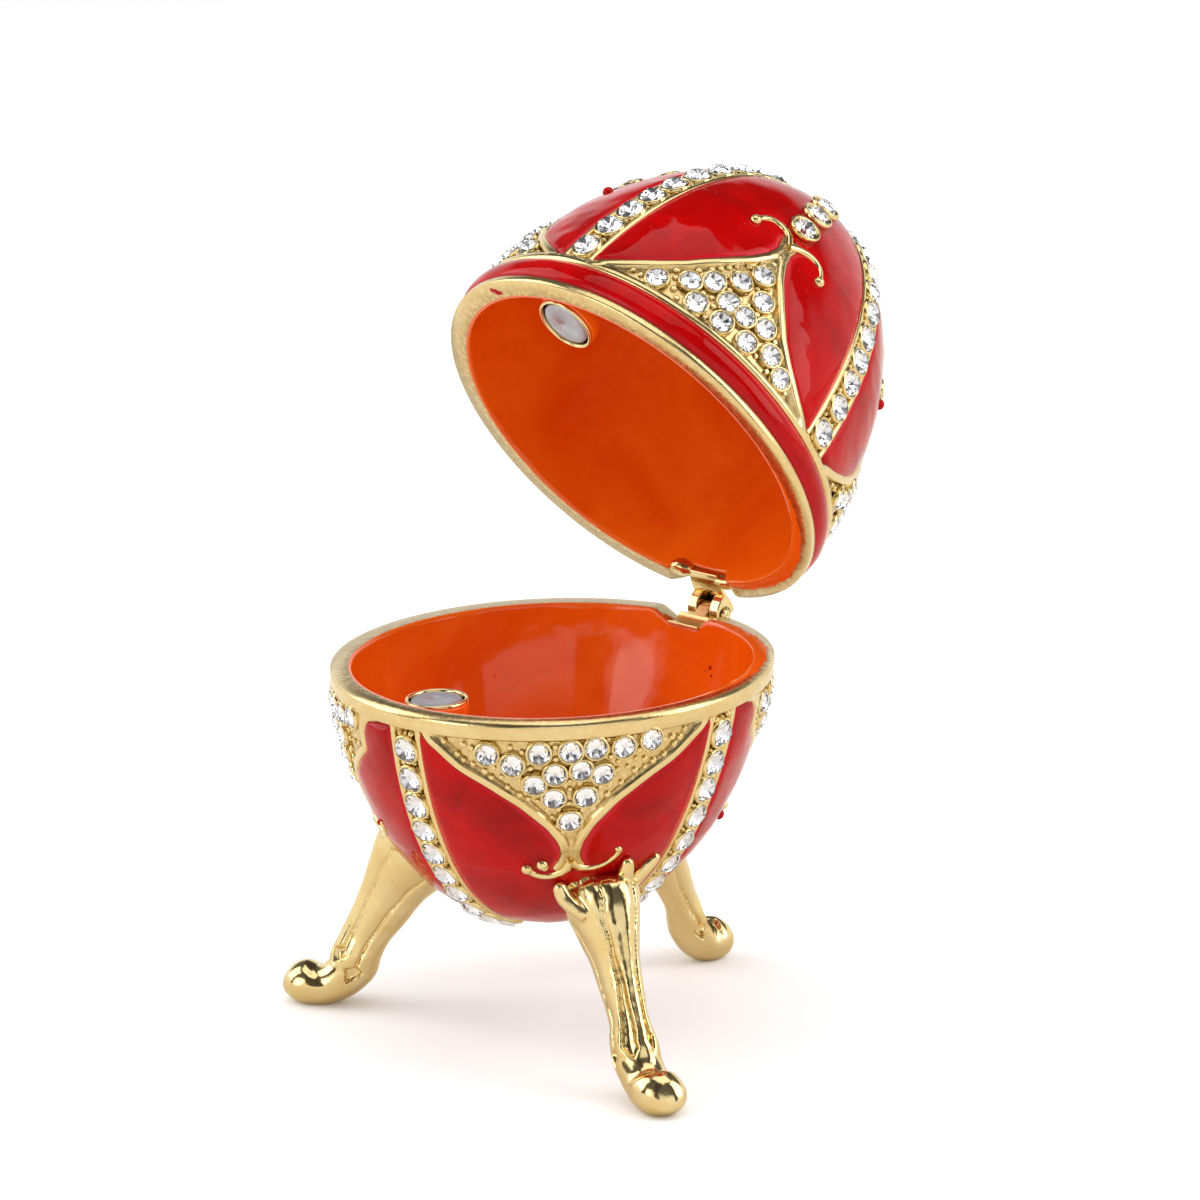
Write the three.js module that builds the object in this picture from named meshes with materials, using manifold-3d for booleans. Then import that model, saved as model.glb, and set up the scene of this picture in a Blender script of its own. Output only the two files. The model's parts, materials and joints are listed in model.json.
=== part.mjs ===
// A jewelled egg trinket box on three cabriole legs, with a hinged lid shown open.
// Millimetres, +Z up. The egg is modelled round its own axis, with the bowl's rim in the plane z = 0 of the
// body group; the group is then raised onto its feet and centred over the middle of its own footprint.

import * as THREE from 'three';
import { mergeVertices } from 'three/addons/utils/BufferGeometryUtils.js';
import Module from 'manifold-3d';

const wasm = await Module();
wasm.setup();

// Driving dimensions

const rimHeight = 38.4; // the bowl's rim above the surface that the feet stand on
const rimGap = 0.3; // between the two rims when the lid is shut
const lidOpening = 56.75; // degrees, the lid at its stop
const wall = 1.5; // the casting's wall

// Each half is a turned form: radius = girth * (1 - (height / length)^p)^(1 / q), length along the axis.
const bowlForm = { girth: 21.5, length: 25.8, p: 1.5, q: 2.5, up: -1, lean: 0.05 };
const lidForm = { girth: 21.1, length: 32.9, p: 2, q: 2, up: 1, lean: 0 };
const leanAzimuth = 225; // the bowl's axis leans a little this way below its rim

// The ornament: four jewelled ribs, and between them four crests, each with an anchor at its tip.
const rib = { count: 4, half: 1.9, proud: 0.4, bevel: 0.25 };
const bowlRelief = { turn: 5, top: 2.3, neck: 16.1, poleRadius: 2.9 };
const lidRelief = { turn: 3.5, top: 5, neck: 20.2, poleRadius: 3.1 };
const crest = { half: 14, neckHalf: 0.65, curve: 1.9, proud: 0.4, bevel: 0.35 };
// the anchor under a crest: how far its arms reach, where they start and end below the neck, and its knobs
const anchor = { reach: 4.1, from: 0.7, to: 1.7, end: 1.95, knob: 0.85, knobDown: 0.3 };
const enamelDome = 0.12; // the enamel stands a little proud in the middle of each field

// Mouldings at the rims: [distance from the rim plane, height over the form]
const bowlBand = [[0, 0.5], [1.6, 0.5], [1.8, 0]];
const lidCollar = [[rimGap, 0.7], [1.2, 0.7], [1.4, 0.3], [2.6, 0.8], [3.9, 0.1], [4.1, 0.5], [4.8, 0.4]];

const stone = { seat: 1.4, table: 0.8, crown: 1.05, sides: 5 };
const ribStones = {
  bowlFirst: 4.2,
  bowlPitch: 3.4,
  bowlCount: 9,
  lidFirst: 6.6,
  lidPitch: 3.25,
  lidCount: 10,
};
// pole and poleLift belong to the larger collet on top of the lid
const collet = { radius: 1.75, lip: 0.75, sides: 5, along: [24.8, 30, 34.6], pole: 2.1, poleLift: 0.4 };

const magnet = { radius: 2.5, height: 1.3, centre: 15.8, below: 0.45 };
const cup = { radius: 3.1, bore: 2.78, top: 0.35, depth: 2.4, floorGap: 0.3, bracketHalf: 1.7 };

// the hinge's line, the radii of its pin, bore and barrels, and half the widths of its parts
const hinge = {
  x: -0.8,
  y: 23.68,
  z: -0.59,
  pin: 0.45,
  bore: 0.52,
  barrel: 1.05,
  half: 1.65,
  tongueHalf: 0.8,
  pinHalf: 2.1,
};
// the gap cut for it in both rims: half its width, its depth in bowl and lid, and its two ends in y
const notch = { half: 3.7, depth: 1.9, recess: 1.5, from: 16, to: 26 };
const leafPlay = 0.15; // between the tongue and the cheeks on either side of it

// The three legs: direction from the egg's axis, the distance of the sole's middle from it, the toe's turn.
const legs = [
  { name: 'leg_back', azimuth: 96, reach: 23, toeTurn: -10 },
  { name: 'leg_left', azimuth: 208, reach: 26.6, toeTurn: 0 },
  { name: 'leg_right', azimuth: 330, reach: 25.8, toeTurn: 12 },
];
const legStand = 0.3; // solder gap between a leg and the bowl
const legSides = 9;
const soleReach = 26.4; // the reach at which the leg outline below is drawn
const shoulderReach = 15;
// The leg seen from its side: outer and inner edge as [distance from the axis, height], and half its width.
const legOutline = [
  { outer: [17.4, 20.9], inner: [9.6, 16.6], half: 3.6 },
  { outer: [19.0, 19.0], inner: [10.8, 14.6], half: 3.9 },
  { outer: [20.2, 16.6], inner: [12.9, 13.3], half: 3.2 },
  { outer: [21.0, 13.7], inner: [14.8, 11.7], half: 2.5 },
  { outer: [21.9, 11.0], inner: [16.6, 9.4], half: 2.15 },
  { outer: [23.0, 8.5], inner: [18.6, 6.9], half: 1.95 },
  { outer: [24.2, 6.1], inner: [19.6, 5.2], half: 2.25 },
  { outer: [25.0, 4.8], inner: [20.3, 3.2], half: 2.35 },
  { outer: [26.1, 4.3], inner: [22.4, 1.0], half: 2.4 },
  { outer: [27.4, 4.35], inner: [25.2, -0.2], half: 2.45 },
  { outer: [28.7, 3.8], inner: [27.6, -0.2], half: 2.2 },
  { outer: [29.6, 2.7], inner: [29.2, 0.5], half: 1.3 },
];
const legCrease = { depth: 0.13, lastStation: 6 };

// Finishes

const gold = new THREE.MeshStandardMaterial({ color: 0xe0b74a, roughness: 0.28, metalness: 1 });
const steel = new THREE.MeshStandardMaterial({ color: 0xb9b9bd, roughness: 0.45, metalness: 0.9 });
const enamel = new THREE.MeshStandardMaterial({ color: 0xa50c12, roughness: 0.12, metalness: 0.25 });

// Small helpers

const radians = THREE.MathUtils.degToRad;

function geometryFrom(points, triangles) {
  const geometry = new THREE.BufferGeometry();
  const numbers = points.flatMap((v) => [v.x, v.y, v.z]);
  geometry.setAttribute('position', new THREE.Float32BufferAttribute(numbers, 3));
  geometry.setIndex(triangles);
  return geometry;
}

// Shares the vertices along seams, which is done before a shape is turned into place.
function joined(geometry) {
  const bare = geometry.clone();
  bare.deleteAttribute('normal');
  bare.deleteAttribute('uv');
  return mergeVertices(bare, 1e-4);
}

function solid(geometry) {
  const skin = joined(geometry);
  const vertProperties = new Float32Array(skin.attributes.position.array);
  const triVerts = new Uint32Array(skin.index.array);
  return new wasm.Manifold(new wasm.Mesh({ numProp: 3, vertProperties, triVerts }));
}

function meshOf(manifold, name, material) {
  const result = manifold.getMesh();
  const geometry = new THREE.BufferGeometry();
  geometry.setAttribute('position', new THREE.BufferAttribute(new Float32Array(result.vertProperties), 3));
  geometry.setIndex(new THREE.BufferAttribute(new Uint32Array(result.triVerts), 1));
  geometry.computeVertexNormals();
  const mesh = new THREE.Mesh(geometry, material);
  mesh.name = name;
  return mesh;
}

function box(x0, x1, y0, y1, z0, z1) {
  const geometry = new THREE.BoxGeometry(x1 - x0, y1 - y0, z1 - z0);
  geometry.translate((x0 + x1) / 2, (y0 + y1) / 2, (z0 + z1) / 2);
  return solid(geometry);
}

function uprightCylinder(radius, x, y, z0, z1, sides) {
  const geometry = joined(new THREE.CylinderGeometry(radius, radius, z1 - z0, sides));
  geometry.rotateX(Math.PI / 2);
  geometry.translate(x, y, (z0 + z1) / 2);
  return solid(geometry);
}

// Joins rings of equal point count into a closed skin, with a fan over each end.
function loft(rings, startTip, endTip) {
  const count = rings[0].length;
  const points = [startTip, ...rings.flat(), endTip];
  const last = points.length - 1;
  const triangles = [];
  for (let i = 0; i < count; i += 1) {
    const next = (i + 1) % count;
    triangles.push(0, 1 + next, 1 + i);
    for (let k = 0; k + 1 < rings.length; k += 1) {
      const a = 1 + k * count;
      const b = a + count;
      triangles.push(a + i, a + next, b + next, a + i, b + next, b + i);
    }
    const end = 1 + (rings.length - 1) * count;
    triangles.push(last, end + i, end + next);
  }
  return geometryFrom(points, triangles);
}

// The turned forms

function formRadius(form, height) {
  const t = Math.min(Math.abs(height) / form.length, 1);
  return form.girth * (1 - t ** form.p) ** (1 / form.q);
}

// Walks a form's meridian from the rim to the pole and keeps its length so far.
function meridian(form) {
  const steps = 600;
  const walk = [];
  let along = 0;
  for (let i = 0; i <= steps; i += 1) {
    const height = form.length * (1 - (1 - i / steps) ** 3);
    const radius = i === steps ? 0 : formRadius(form, height);
    const before = walk[i - 1];
    along += before ? Math.hypot(radius - before.radius, height - before.height) : 0;
    walk.push({ along, radius, height });
  }
  return { form, walk, length: along };
}

function pointOn(path, along) {
  const { walk } = path;
  const found = walk.findIndex((step) => step.along >= along);
  const k = Math.max(1, found < 0 ? walk.length - 1 : found);
  const a = walk[k - 1];
  const b = walk[k];
  const t = (along - a.along) / (b.along - a.along);
  const run = Math.hypot(b.radius - a.radius, b.height - a.height);
  return {
    radius: a.radius + (b.radius - a.radius) * t,
    height: a.height + (b.height - a.height) * t,
    normalRadius: (b.height - a.height) / run,
    normalHeight: (a.radius - b.radius) / run,
  };
}

// A place on the egg: angle in radians round the axis, distance along the meridian, height over the form.
function place(path, angle, along, over) {
  const at = pointOn(path, along);
  const radius = at.radius + at.normalRadius * over;
  const height = at.height + at.normalHeight * over;
  const shift = path.form.lean * at.height;
  return new THREE.Vector3(
    radius * Math.cos(angle) + shift * Math.cos(radians(leanAzimuth)),
    radius * Math.sin(angle) + shift * Math.sin(radians(leanAzimuth)),
    path.form.up * height,
  );
}

// The same place given by millimetres across from a meridian at the given azimuth in degrees.
function placeAcross(path, azimuth, across, along, over) {
  const { radius } = pointOn(path, along);
  return place(path, radians(azimuth) + across / radius, along, over);
}

const bowlPath = meridian(bowlForm);
const lidPath = meridian(lidForm);

// Half the crest's width where it crosses the meridian: concave down to the neck, then out along the anchor.
function crestHalf(relief, along) {
  const t = THREE.MathUtils.clamp((along - relief.top) / (relief.neck - relief.top), 0, 1);
  const half = crest.neckHalf + (crest.half - crest.neckHalf) * (1 - t) ** crest.curve;
  const down = along - relief.neck;
  return down > anchor.from - 0.1 ? anchor.reach - 0.5 * down : half;
}

// One quarter of a ring round the egg, from the middle of a rib to the middle of the next:
// [angle from the rib, height over the form] for every column of the casting.
function quarterColumns(path, relief, along, extra) {
  const { radius } = pointOn(path, along);
  const panelHalf = (radius * Math.PI) / rib.count - rib.half;
  const inCrest = along < relief.neck + anchor.to + 0.1;
  const beyond = along > relief.neck + anchor.end + 0.1;
  const edge = Math.min(beyond ? panelHalf * 0.6 : crestHalf(relief, along), panelHalf - 0.2);
  const inside = edge - Math.min(crest.bevel, edge * 0.5);
  const level = inCrest ? crest.proud : enamelDome;
  const field = (panelHalf + edge) / 2;
  const side = [
    [field, enamelDome],
    [edge, 0],
    [inside, level],
    [inside / 2, level],
  ];
  const panel = [...side.map(([x, over]) => [-x, over]), [0, level], ...side.reverse()];
  const ribSide = [
    [rib.half - rib.bevel, rib.proud],
    [rib.half, 0],
  ];
  const quarter = (2 * Math.PI) / rib.count;
  return [
    ...ribSide.map(([x, over]) => [x / radius, over]),
    ...panel.map(([x, over]) => [quarter / 2 + x / radius, over]),
    ...ribSide.reverse().map(([x, over]) => [quarter - x / radius, over]),
  ].map(([angle, over]) => [angle, over + extra]);
}

// The outside of a half as one closed skin, flat across the rim, grown by extra all over.
function outerSkin(path, relief, mouldings, crestRows, poleRows, extra) {
  const poleStart = path.walk.find((step) => step.radius < relief.poleRadius).along;
  const rows = [];
  for (let i = 0; i <= crestRows; i += 1) {
    rows.push(relief.top + ((relief.neck - relief.top) * i) / crestRows);
  }
  rows.push(relief.neck + anchor.from, relief.neck + anchor.to, relief.neck + anchor.end);
  for (let i = 1; i <= poleRows; i += 1) {
    rows.push(relief.neck + anchor.end + ((poleStart - relief.neck - anchor.end) * i) / poleRows);
  }
  const azimuths = Array.from({ length: rib.count }, (unused, k) => relief.turn + (360 / rib.count) * k);
  const ring = (along, level) => azimuths.flatMap((azimuth) => (
    quarterColumns(path, relief, Math.max(along, relief.top), extra).map(([angle, over]) => (
      place(path, radians(azimuth) + angle, along, level === undefined ? over : level + extra)
    ))
  ));
  const rings = [
    ...mouldings.map(([along, over]) => ring(along, over)),
    ...rows.map((along) => ring(along)),
    ring(poleStart + 0.3, rib.proud),
  ];
  const rimTip = new THREE.Vector3(0, 0, path.form.up * mouldings[0][0]);
  const poleTip = place(path, 0, path.length, rib.proud + extra);
  rings[0].forEach((point) => { point.z = rimTip.z; });
  const skin = loft(rings, rimTip, poleTip);
  if (path.form.up < 0) {
    const { array } = skin.index;
    for (let i = 0; i < array.length; i += 3) {
      [array[i + 1], array[i + 2]] = [array[i + 2], array[i + 1]];
    }
  }
  return solid(skin);
}

// The hollow inside a half, carried past the rim so that it cuts clean through.
function hollow(form, sides, rows) {
  const inside = { ...form, girth: form.girth - wall, length: form.length - wall };
  const profile = [new THREE.Vector2(0, -form.up * 3), new THREE.Vector2(inside.girth, -form.up * 3)];
  for (let i = 0; i < rows; i += 1) {
    const height = inside.length * Math.sin((i / rows) * (Math.PI / 2));
    profile.push(new THREE.Vector2(formRadius(inside, height), form.up * height));
  }
  profile.push(new THREE.Vector2(0, form.up * inside.length));
  const ordered = form.up > 0 ? profile : profile.reverse();
  const geometry = joined(new THREE.LatheGeometry(ordered, sides));
  geometry.rotateX(Math.PI / 2);
  const points = geometry.attributes.position;
  for (let i = 0; i < points.count; i += 1) {
    const shift = form.lean * Math.max(0, form.up * points.getZ(i));
    points.setX(i, points.getX(i) + shift * Math.cos(radians(leanAzimuth)));
    points.setY(i, points.getY(i) + shift * Math.sin(radians(leanAzimuth)));
  }
  return solid(geometry);
}

// Stands a turned profile [radius, height] on the egg, its own axis along the surface's normal.
function turnedOn(path, azimuth, along, profile, sides) {
  const geometry = joined(new THREE.LatheGeometry(profile.map(([r, h]) => new THREE.Vector2(r, h)), sides));
  const foot = place(path, radians(azimuth), along, 0);
  const tip = place(path, radians(azimuth), along, 1);
  const turn = new THREE.Quaternion().setFromUnitVectors(
    new THREE.Vector3(0, 1, 0),
    tip.sub(foot).normalize(),
  );
  geometry.applyQuaternion(turn);
  geometry.translate(foot.x, foot.y, foot.z);
  return solid(geometry);
}

const stoneProfile = [[0, 0], [stone.seat, 0], [stone.table, stone.crown], [0, stone.crown]];
const colletProfile = [[0, -0.6], [collet.radius, -0.6], [collet.radius, collet.lip],
  [stone.table, collet.lip + 0.45], [0, collet.lip + 0.45]];

// The knob that ends an arm of the anchor.
function anchorKnob(path, relief, azimuth, side) {
  const geometry = joined(new THREE.OctahedronGeometry(anchor.knob, 0));
  const at = placeAcross(path, azimuth, side * anchor.reach, relief.neck + anchor.knobDown, crest.proud);
  geometry.translate(at.x, at.y, at.z);
  return solid(geometry);
}

function withOrnament(body, path, relief, stones) {
  let cast = body;
  for (let k = 0; k < rib.count; k += 1) {
    const ribAzimuth = relief.turn + (360 / rib.count) * k;
    const crestAzimuth = ribAzimuth + 180 / rib.count;
    for (let i = 0; i < stones.count; i += 1) {
      const along = stones.first + stones.pitch * i;
      if (!stones.covered(ribAzimuth, along)) {
        cast = cast.add(turnedOn(path, ribAzimuth, along, stoneProfile, stone.sides));
      }
    }
    cast = cast.add(anchorKnob(path, relief, crestAzimuth, 1));
    cast = cast.add(anchorKnob(path, relief, crestAzimuth, -1));
  }
  return cast;
}

// The magnet's cup with its bracket, soldered inside the wall; up is +1 in the lid.
function cupSolid(up) {
  const level = up > 0 ? rimGap + cup.top : -cup.top;
  const deep = level + up * cup.depth;
  const low = Math.min(level, deep);
  const high = Math.max(level, deep);
  const bracket = box(
    -cup.bracketHalf,
    cup.bracketHalf,
    -bowlForm.girth + 0.4,
    -magnet.centre,
    low + 0.3,
    high - 0.3,
  );
  return uprightCylinder(cup.radius, 0, -magnet.centre, low, high, 16).add(bracket);
}

function cupBore(up) {
  const level = up > 0 ? rimGap + cup.top : -cup.top;
  const floor = level + up * (magnet.below - cup.top + magnet.height + cup.floorGap);
  const mouth = level - up;
  return uprightCylinder(cup.bore, 0, -magnet.centre, Math.min(floor, mouth), Math.max(floor, mouth), 16);
}

function magnetMesh(up, name) {
  const near = up > 0 ? rimGap + magnet.below : -magnet.below;
  const far = near + up * magnet.height;
  const bottom = Math.min(near, far);
  const top = Math.max(near, far);
  const disc = uprightCylinder(magnet.radius, 0, -magnet.centre, bottom, top, 16);
  return meshOf(disc, name, steel);
}

// The halves

const bowlOuter = outerSkin(bowlPath, bowlRelief, bowlBand, 5, 3, 0);
const bowlStones = {
  count: ribStones.bowlCount,
  first: ribStones.bowlFirst,
  pitch: ribStones.bowlPitch,
  // the back leg's shoulder sits over the end of the rib behind it
  covered: (azimuth, along) => legs.some((leg) => (
    Math.abs(leg.azimuth - azimuth) < 15 && along > bowlRelief.neck - 1
  )),
};
const bowlSolid = withOrnament(
  bowlOuter.subtract(hollow(bowlForm, 28, 6)).add(cupSolid(-1)),
  bowlPath,
  bowlRelief,
  bowlStones,
).subtract(cupBore(-1)).subtract(box(-notch.half, notch.half, notch.from, notch.to, -notch.depth, 2));

const lidOuter = outerSkin(lidPath, lidRelief, lidCollar, 5, 3, 0);
const lidStones = {
  count: ribStones.lidCount,
  first: ribStones.lidFirst,
  pitch: ribStones.lidPitch,
  covered: () => false,
};
let lidSolid = withOrnament(
  lidOuter.subtract(hollow(lidForm, 28, 7)).add(cupSolid(1)),
  lidPath,
  lidRelief,
  lidStones,
).subtract(cupBore(1)).subtract(box(-notch.half, notch.half, notch.from, notch.to, -2, notch.recess));
for (let k = 0; k < rib.count; k += 1) {
  const azimuth = lidRelief.turn + (360 / rib.count) * (k + 0.5);
  collet.along.forEach((along) => {
    lidSolid = lidSolid.add(turnedOn(lidPath, azimuth, along, colletProfile, collet.sides));
  });
}
const poleScale = collet.pole / collet.radius;
const poleProfile = colletProfile.map(([r, h]) => [r * poleScale, h + collet.poleLift]);
lidSolid = lidSolid.add(turnedOn(lidPath, 0, lidPath.length, poleProfile, 10));

// The hinge: a tongue on the bowl's leaf between two cheeks on the lid's leaf, the pin through all three.

function plateAcross(outline, x0, x1) {
  const shape = new THREE.Shape(outline.map(([y, z]) => new THREE.Vector2(y, z)));
  const geometry = new THREE.ExtrudeGeometry(shape, { depth: x1 - x0, bevelEnabled: false });
  geometry.applyMatrix4(new THREE.Matrix4().set(0, 0, 1, hinge.x + x0, 1, 0, 0, 0, 0, 1, 0, 0, 0, 0, 0, 1));
  return solid(geometry);
}

function barrel(radius, x0, x1, sides) {
  const geometry = joined(new THREE.CylinderGeometry(radius, radius, x1 - x0, sides));
  geometry.rotateZ(Math.PI / 2);
  geometry.translate(hinge.x + (x0 + x1) / 2, hinge.y, hinge.z);
  return solid(geometry);
}

const knuckleTop = hinge.z + hinge.barrel * 0.8;
const knuckleBottom = hinge.z - hinge.barrel * 0.8;
const leafFloor = -notch.depth + 0.3;

function bowlLeaf() {
  const foot = [[19.8, leafFloor], [20.5, leafFloor], [20.5, leafFloor + 0.6], [19.8, leafFloor + 0.6]];
  const tongue = [[20.3, leafFloor], [22.4, leafFloor], [hinge.y, knuckleBottom], [hinge.y, knuckleTop],
    [22.6, knuckleTop], [21.8, leafFloor + 0.7], [20.3, leafFloor + 0.6]];
  return plateAcross(foot, -hinge.half, hinge.half)
    .add(plateAcross(tongue, -hinge.tongueHalf, hinge.tongueHalf))
    .add(barrel(hinge.barrel, -hinge.tongueHalf, hinge.tongueHalf, 10))
    .subtract(barrel(hinge.bore, -notch.half, notch.half, 10));
}

function lidLeaf() {
  const bridgeTop = notch.recess - 0.3;
  const bridge = [[19.5, 0.55], [20.3, 0.35], [20.9, bridgeTop - 0.1], [20.6, bridgeTop],
    [19.5, bridgeTop]];
  const cheek = [[19.9, 0.5], [20.9, -1.15], [22.3, -1.35], [hinge.y, knuckleBottom], [hinge.y, knuckleTop],
    [22.4, 0.3], [21.4, 0.4], [20.7, bridgeTop - 0.05], [19.9, bridgeTop - 0.05]];
  let leaf = plateAcross(bridge, -hinge.half, hinge.half);
  [-1, 1].forEach((side) => {
    const near = side * (hinge.tongueHalf + leafPlay);
    const far = side * hinge.half;
    const x0 = Math.min(near, far);
    const x1 = Math.max(near, far);
    leaf = leaf.add(plateAcross(cheek, x0, x1)).add(barrel(hinge.barrel, x0, x1, 10));
  });
  return leaf.subtract(barrel(hinge.bore, -notch.half, notch.half, 10));
}

// A leg: rings of points from the shoulder to the toe, creased into three lobes down its front.
function legSkin(leg) {
  const stretch = (leg.reach - shoulderReach) / (soleReach - shoulderReach);
  const bend = (distance) => (
    distance < shoulderReach ? distance : shoulderReach + (distance - shoulderReach) * stretch
  );
  const outward = new THREE.Vector2(Math.cos(radians(leg.azimuth)), Math.sin(radians(leg.azimuth)));
  const side = new THREE.Vector2(-outward.y, outward.x);
  const at = (distance, across, height) => {
    const drift = across + Math.tan(radians(leg.toeTurn)) * Math.max(0, distance - shoulderReach);
    return new THREE.Vector3(
      outward.x * distance + side.x * drift,
      outward.y * distance + side.y * drift,
      Math.max(0, height) - rimHeight,
    );
  };
  const stations = legOutline.map((station, index) => {
    const outer = new THREE.Vector2(bend(station.outer[0]), station.outer[1]);
    const inner = new THREE.Vector2(bend(station.inner[0]), station.inner[1]);
    const middle = outer.clone().add(inner).multiplyScalar(0.5);
    const reach = outer.clone().sub(inner).multiplyScalar(0.5);
    const points = [];
    for (let i = 0; i < legSides; i += 1) {
      const angle = (2 * Math.PI * i) / legSides;
      const creased = index < legCrease.lastStation && (i === 1 || i === legSides - 1);
      const scale = creased ? 1 - legCrease.depth : 1;
      const forward = Math.cos(angle) * scale;
      points.unshift(at(
        middle.x + reach.x * forward,
        Math.sin(angle) * station.half * scale,
        middle.y + reach.y * forward,
      ));
    }
    return { points, tip: at(middle.x, 0, middle.y) };
  });
  const last = stations[stations.length - 1];
  return solid(loft(stations.map((station) => station.points), stations[0].tip, last.tip));
}

const bowlGrown = outerSkin(bowlPath, bowlRelief, bowlBand, 5, 3, legStand);

// Assembly

const box3d = new THREE.Group();
const body = new THREE.Group();
const lidPivot = new THREE.Group();
const lid = new THREE.Group();
body.position.z = rimHeight;
lidPivot.position.set(0, hinge.y, hinge.z);
lidPivot.rotation.x = -radians(lidOpening);
lid.position.set(0, -hinge.y, -hinge.z);
lidPivot.add(lid);
body.add(lidPivot);
box3d.add(body);

body.add(meshOf(bowlSolid, 'bowl', enamel));
legs.forEach((leg) => body.add(meshOf(legSkin(leg).subtract(bowlGrown), leg.name, gold)));
body.add(magnetMesh(-1, 'bowl_magnet'));
body.add(meshOf(bowlLeaf(), 'hinge_leaf_bowl', gold));
body.add(meshOf(barrel(hinge.pin, -hinge.pinHalf, hinge.pinHalf, 10), 'hinge_pin', gold));
lid.add(meshOf(lidSolid, 'lid', enamel));
lid.add(magnetMesh(1, 'lid_magnet'));
lid.add(meshOf(lidLeaf(), 'hinge_leaf_lid', gold));

// Stand the box with the middle of its footprint at the origin.
box3d.updateMatrixWorld(true);
const extent = new THREE.Box3().setFromObject(box3d, true);
const middle = extent.getCenter(new THREE.Vector3());
box3d.position.set(-middle.x, -middle.y, -extent.min.z);
box3d.updateMatrixWorld(true);

export default box3d;
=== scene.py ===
import math
import bpy
import bmesh
import numpy as np
from mathutils import Matrix, Vector
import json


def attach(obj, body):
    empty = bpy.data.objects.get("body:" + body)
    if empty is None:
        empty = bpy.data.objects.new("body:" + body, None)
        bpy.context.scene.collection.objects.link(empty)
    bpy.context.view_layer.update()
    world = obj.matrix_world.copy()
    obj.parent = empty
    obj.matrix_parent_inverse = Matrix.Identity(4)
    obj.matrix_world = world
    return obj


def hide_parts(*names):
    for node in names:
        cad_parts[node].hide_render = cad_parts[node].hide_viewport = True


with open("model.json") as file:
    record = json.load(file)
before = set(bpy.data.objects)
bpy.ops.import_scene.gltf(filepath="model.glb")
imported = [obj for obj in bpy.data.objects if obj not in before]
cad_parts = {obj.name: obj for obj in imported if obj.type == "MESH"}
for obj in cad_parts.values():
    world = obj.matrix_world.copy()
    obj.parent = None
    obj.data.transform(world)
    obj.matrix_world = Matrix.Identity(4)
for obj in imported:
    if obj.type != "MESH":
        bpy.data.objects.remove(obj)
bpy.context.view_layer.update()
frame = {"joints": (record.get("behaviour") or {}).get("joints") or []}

# The egg is modelled in millimetres round its own axis, the bowl's rim in the plane z = 0,
# and toRow carries it into the frame.
egg = {
    "hinge": (-0.8, 23.68, -0.59),
    "opening": 56.75,  # degrees the lid is swung back
    "wall": 1.5,
    "rimGap": 0.3,
    "rimHeight": 38.4,
}
hingePoint = np.array(frame["joints"][0]["pos_m"]) * 1000
rimCentre = hingePoint - np.array(egg["hinge"])

bowlForm = {
    "girth": 21.5, "length": 25.8, "p": 1.5, "q": 2.5, "up": -1, "lean": 0.05, "leanAzimuth": 225,
    "ribs": [5, 95, 185, 274.3],  # azimuths of the jewelled ribs
    "skew": 0.7,  # how far a crest's neck leans off the middle of its panel
    "poleRadius": 2.5,
    "rimStart": 0,
    # distance from the rim and height over the form of the plain band
    "mouldings": [(0, 0.5), (1.55, 0.52), (1.7, 0.42), (1.85, 0)],
    # the crest's outline: distance from the rim and half its width
    "crest": [(1.7, 14.8), (2.6, 14.4), (3.2, 13.4), (5.2, 10.9), (6.7, 8.1), (9.0, 4.8), (11.6, 2.35),
              (13.6, 1.25), (15.0, 0.95), (16.0, 1.15), (16.8, 1.7), (17.2, 1.5), (17.5, 0.06), (60, 0.05)],
    "crestEnd": 17.4,
    "crestReach": [9.9, 9.9, 9.9, 18],  # the widest half of each panel's crest
}
lidForm = {
    "girth": 21.1, "length": 32.9, "p": 2.0, "q": 2.0, "up": 1, "lean": 0, "leanAzimuth": 0,
    "ribs": [1.4, 92.2, 183, 273.4],
    "skew": 0.7,
    "poleRadius": 2.6,
    "rimStart": egg["rimGap"],
    "mouldings": [(egg["rimGap"], 0.62), (0.5, 0.72), (1.05, 0.72), (1.2, 0.55), (1.3, 0.1), (3.85, 0.1),
                  (3.95, 0.45), (4.2, 0.62), (4.7, 0.6), (4.95, 0.1)],
    "crest": [(4.7, 14.6), (5.4, 13.6), (6.4, 11.3), (8.2, 8.3), (9.8, 6.3), (12.9, 3.7), (15.2, 2.05),
              (17.0, 1.15), (18.6, 0.8), (19.8, 1.0), (20.6, 1.1), (21.0, 0.06), (70, 0.05)],
    "crestEnd": 20.8,
    "crestReach": [18, 18, 18, 18],
}
# each half: its key, its form, whether it swings with the lid, and the body it rides on
halves = [("bowl", bowlForm, False, "base"), ("lid", lidForm, True, "lid")]


def smooth(t):
    t = np.clip(t, 0, 1)
    return t * t * (3 - 2 * t)


def ripple(points, wavelength, seed, octaves=3, wavesEach=4, finer=1.9):
    # an uneven surface, as a sum of a few waves in fixed random directions
    rng = np.random.default_rng(seed)
    total = np.zeros(len(points))
    for octave in range(octaves):
        fineness = finer ** octave
        for _ in range(wavesEach):
            direction = rng.normal(size=3)
            direction /= np.linalg.norm(direction)
            phase = rng.uniform(0, 2 * math.pi)
            total += np.sin(points @ direction * (2 * math.pi * fineness / wavelength) + phase) / fineness
    return total / 6


def wavyRing(angles, waves, base=0):
    # waves round a ring: height, how many, and where they begin
    for height, number, begin in waves:
        base = base + height * np.sin(angles * number + begin)
    return base


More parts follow.
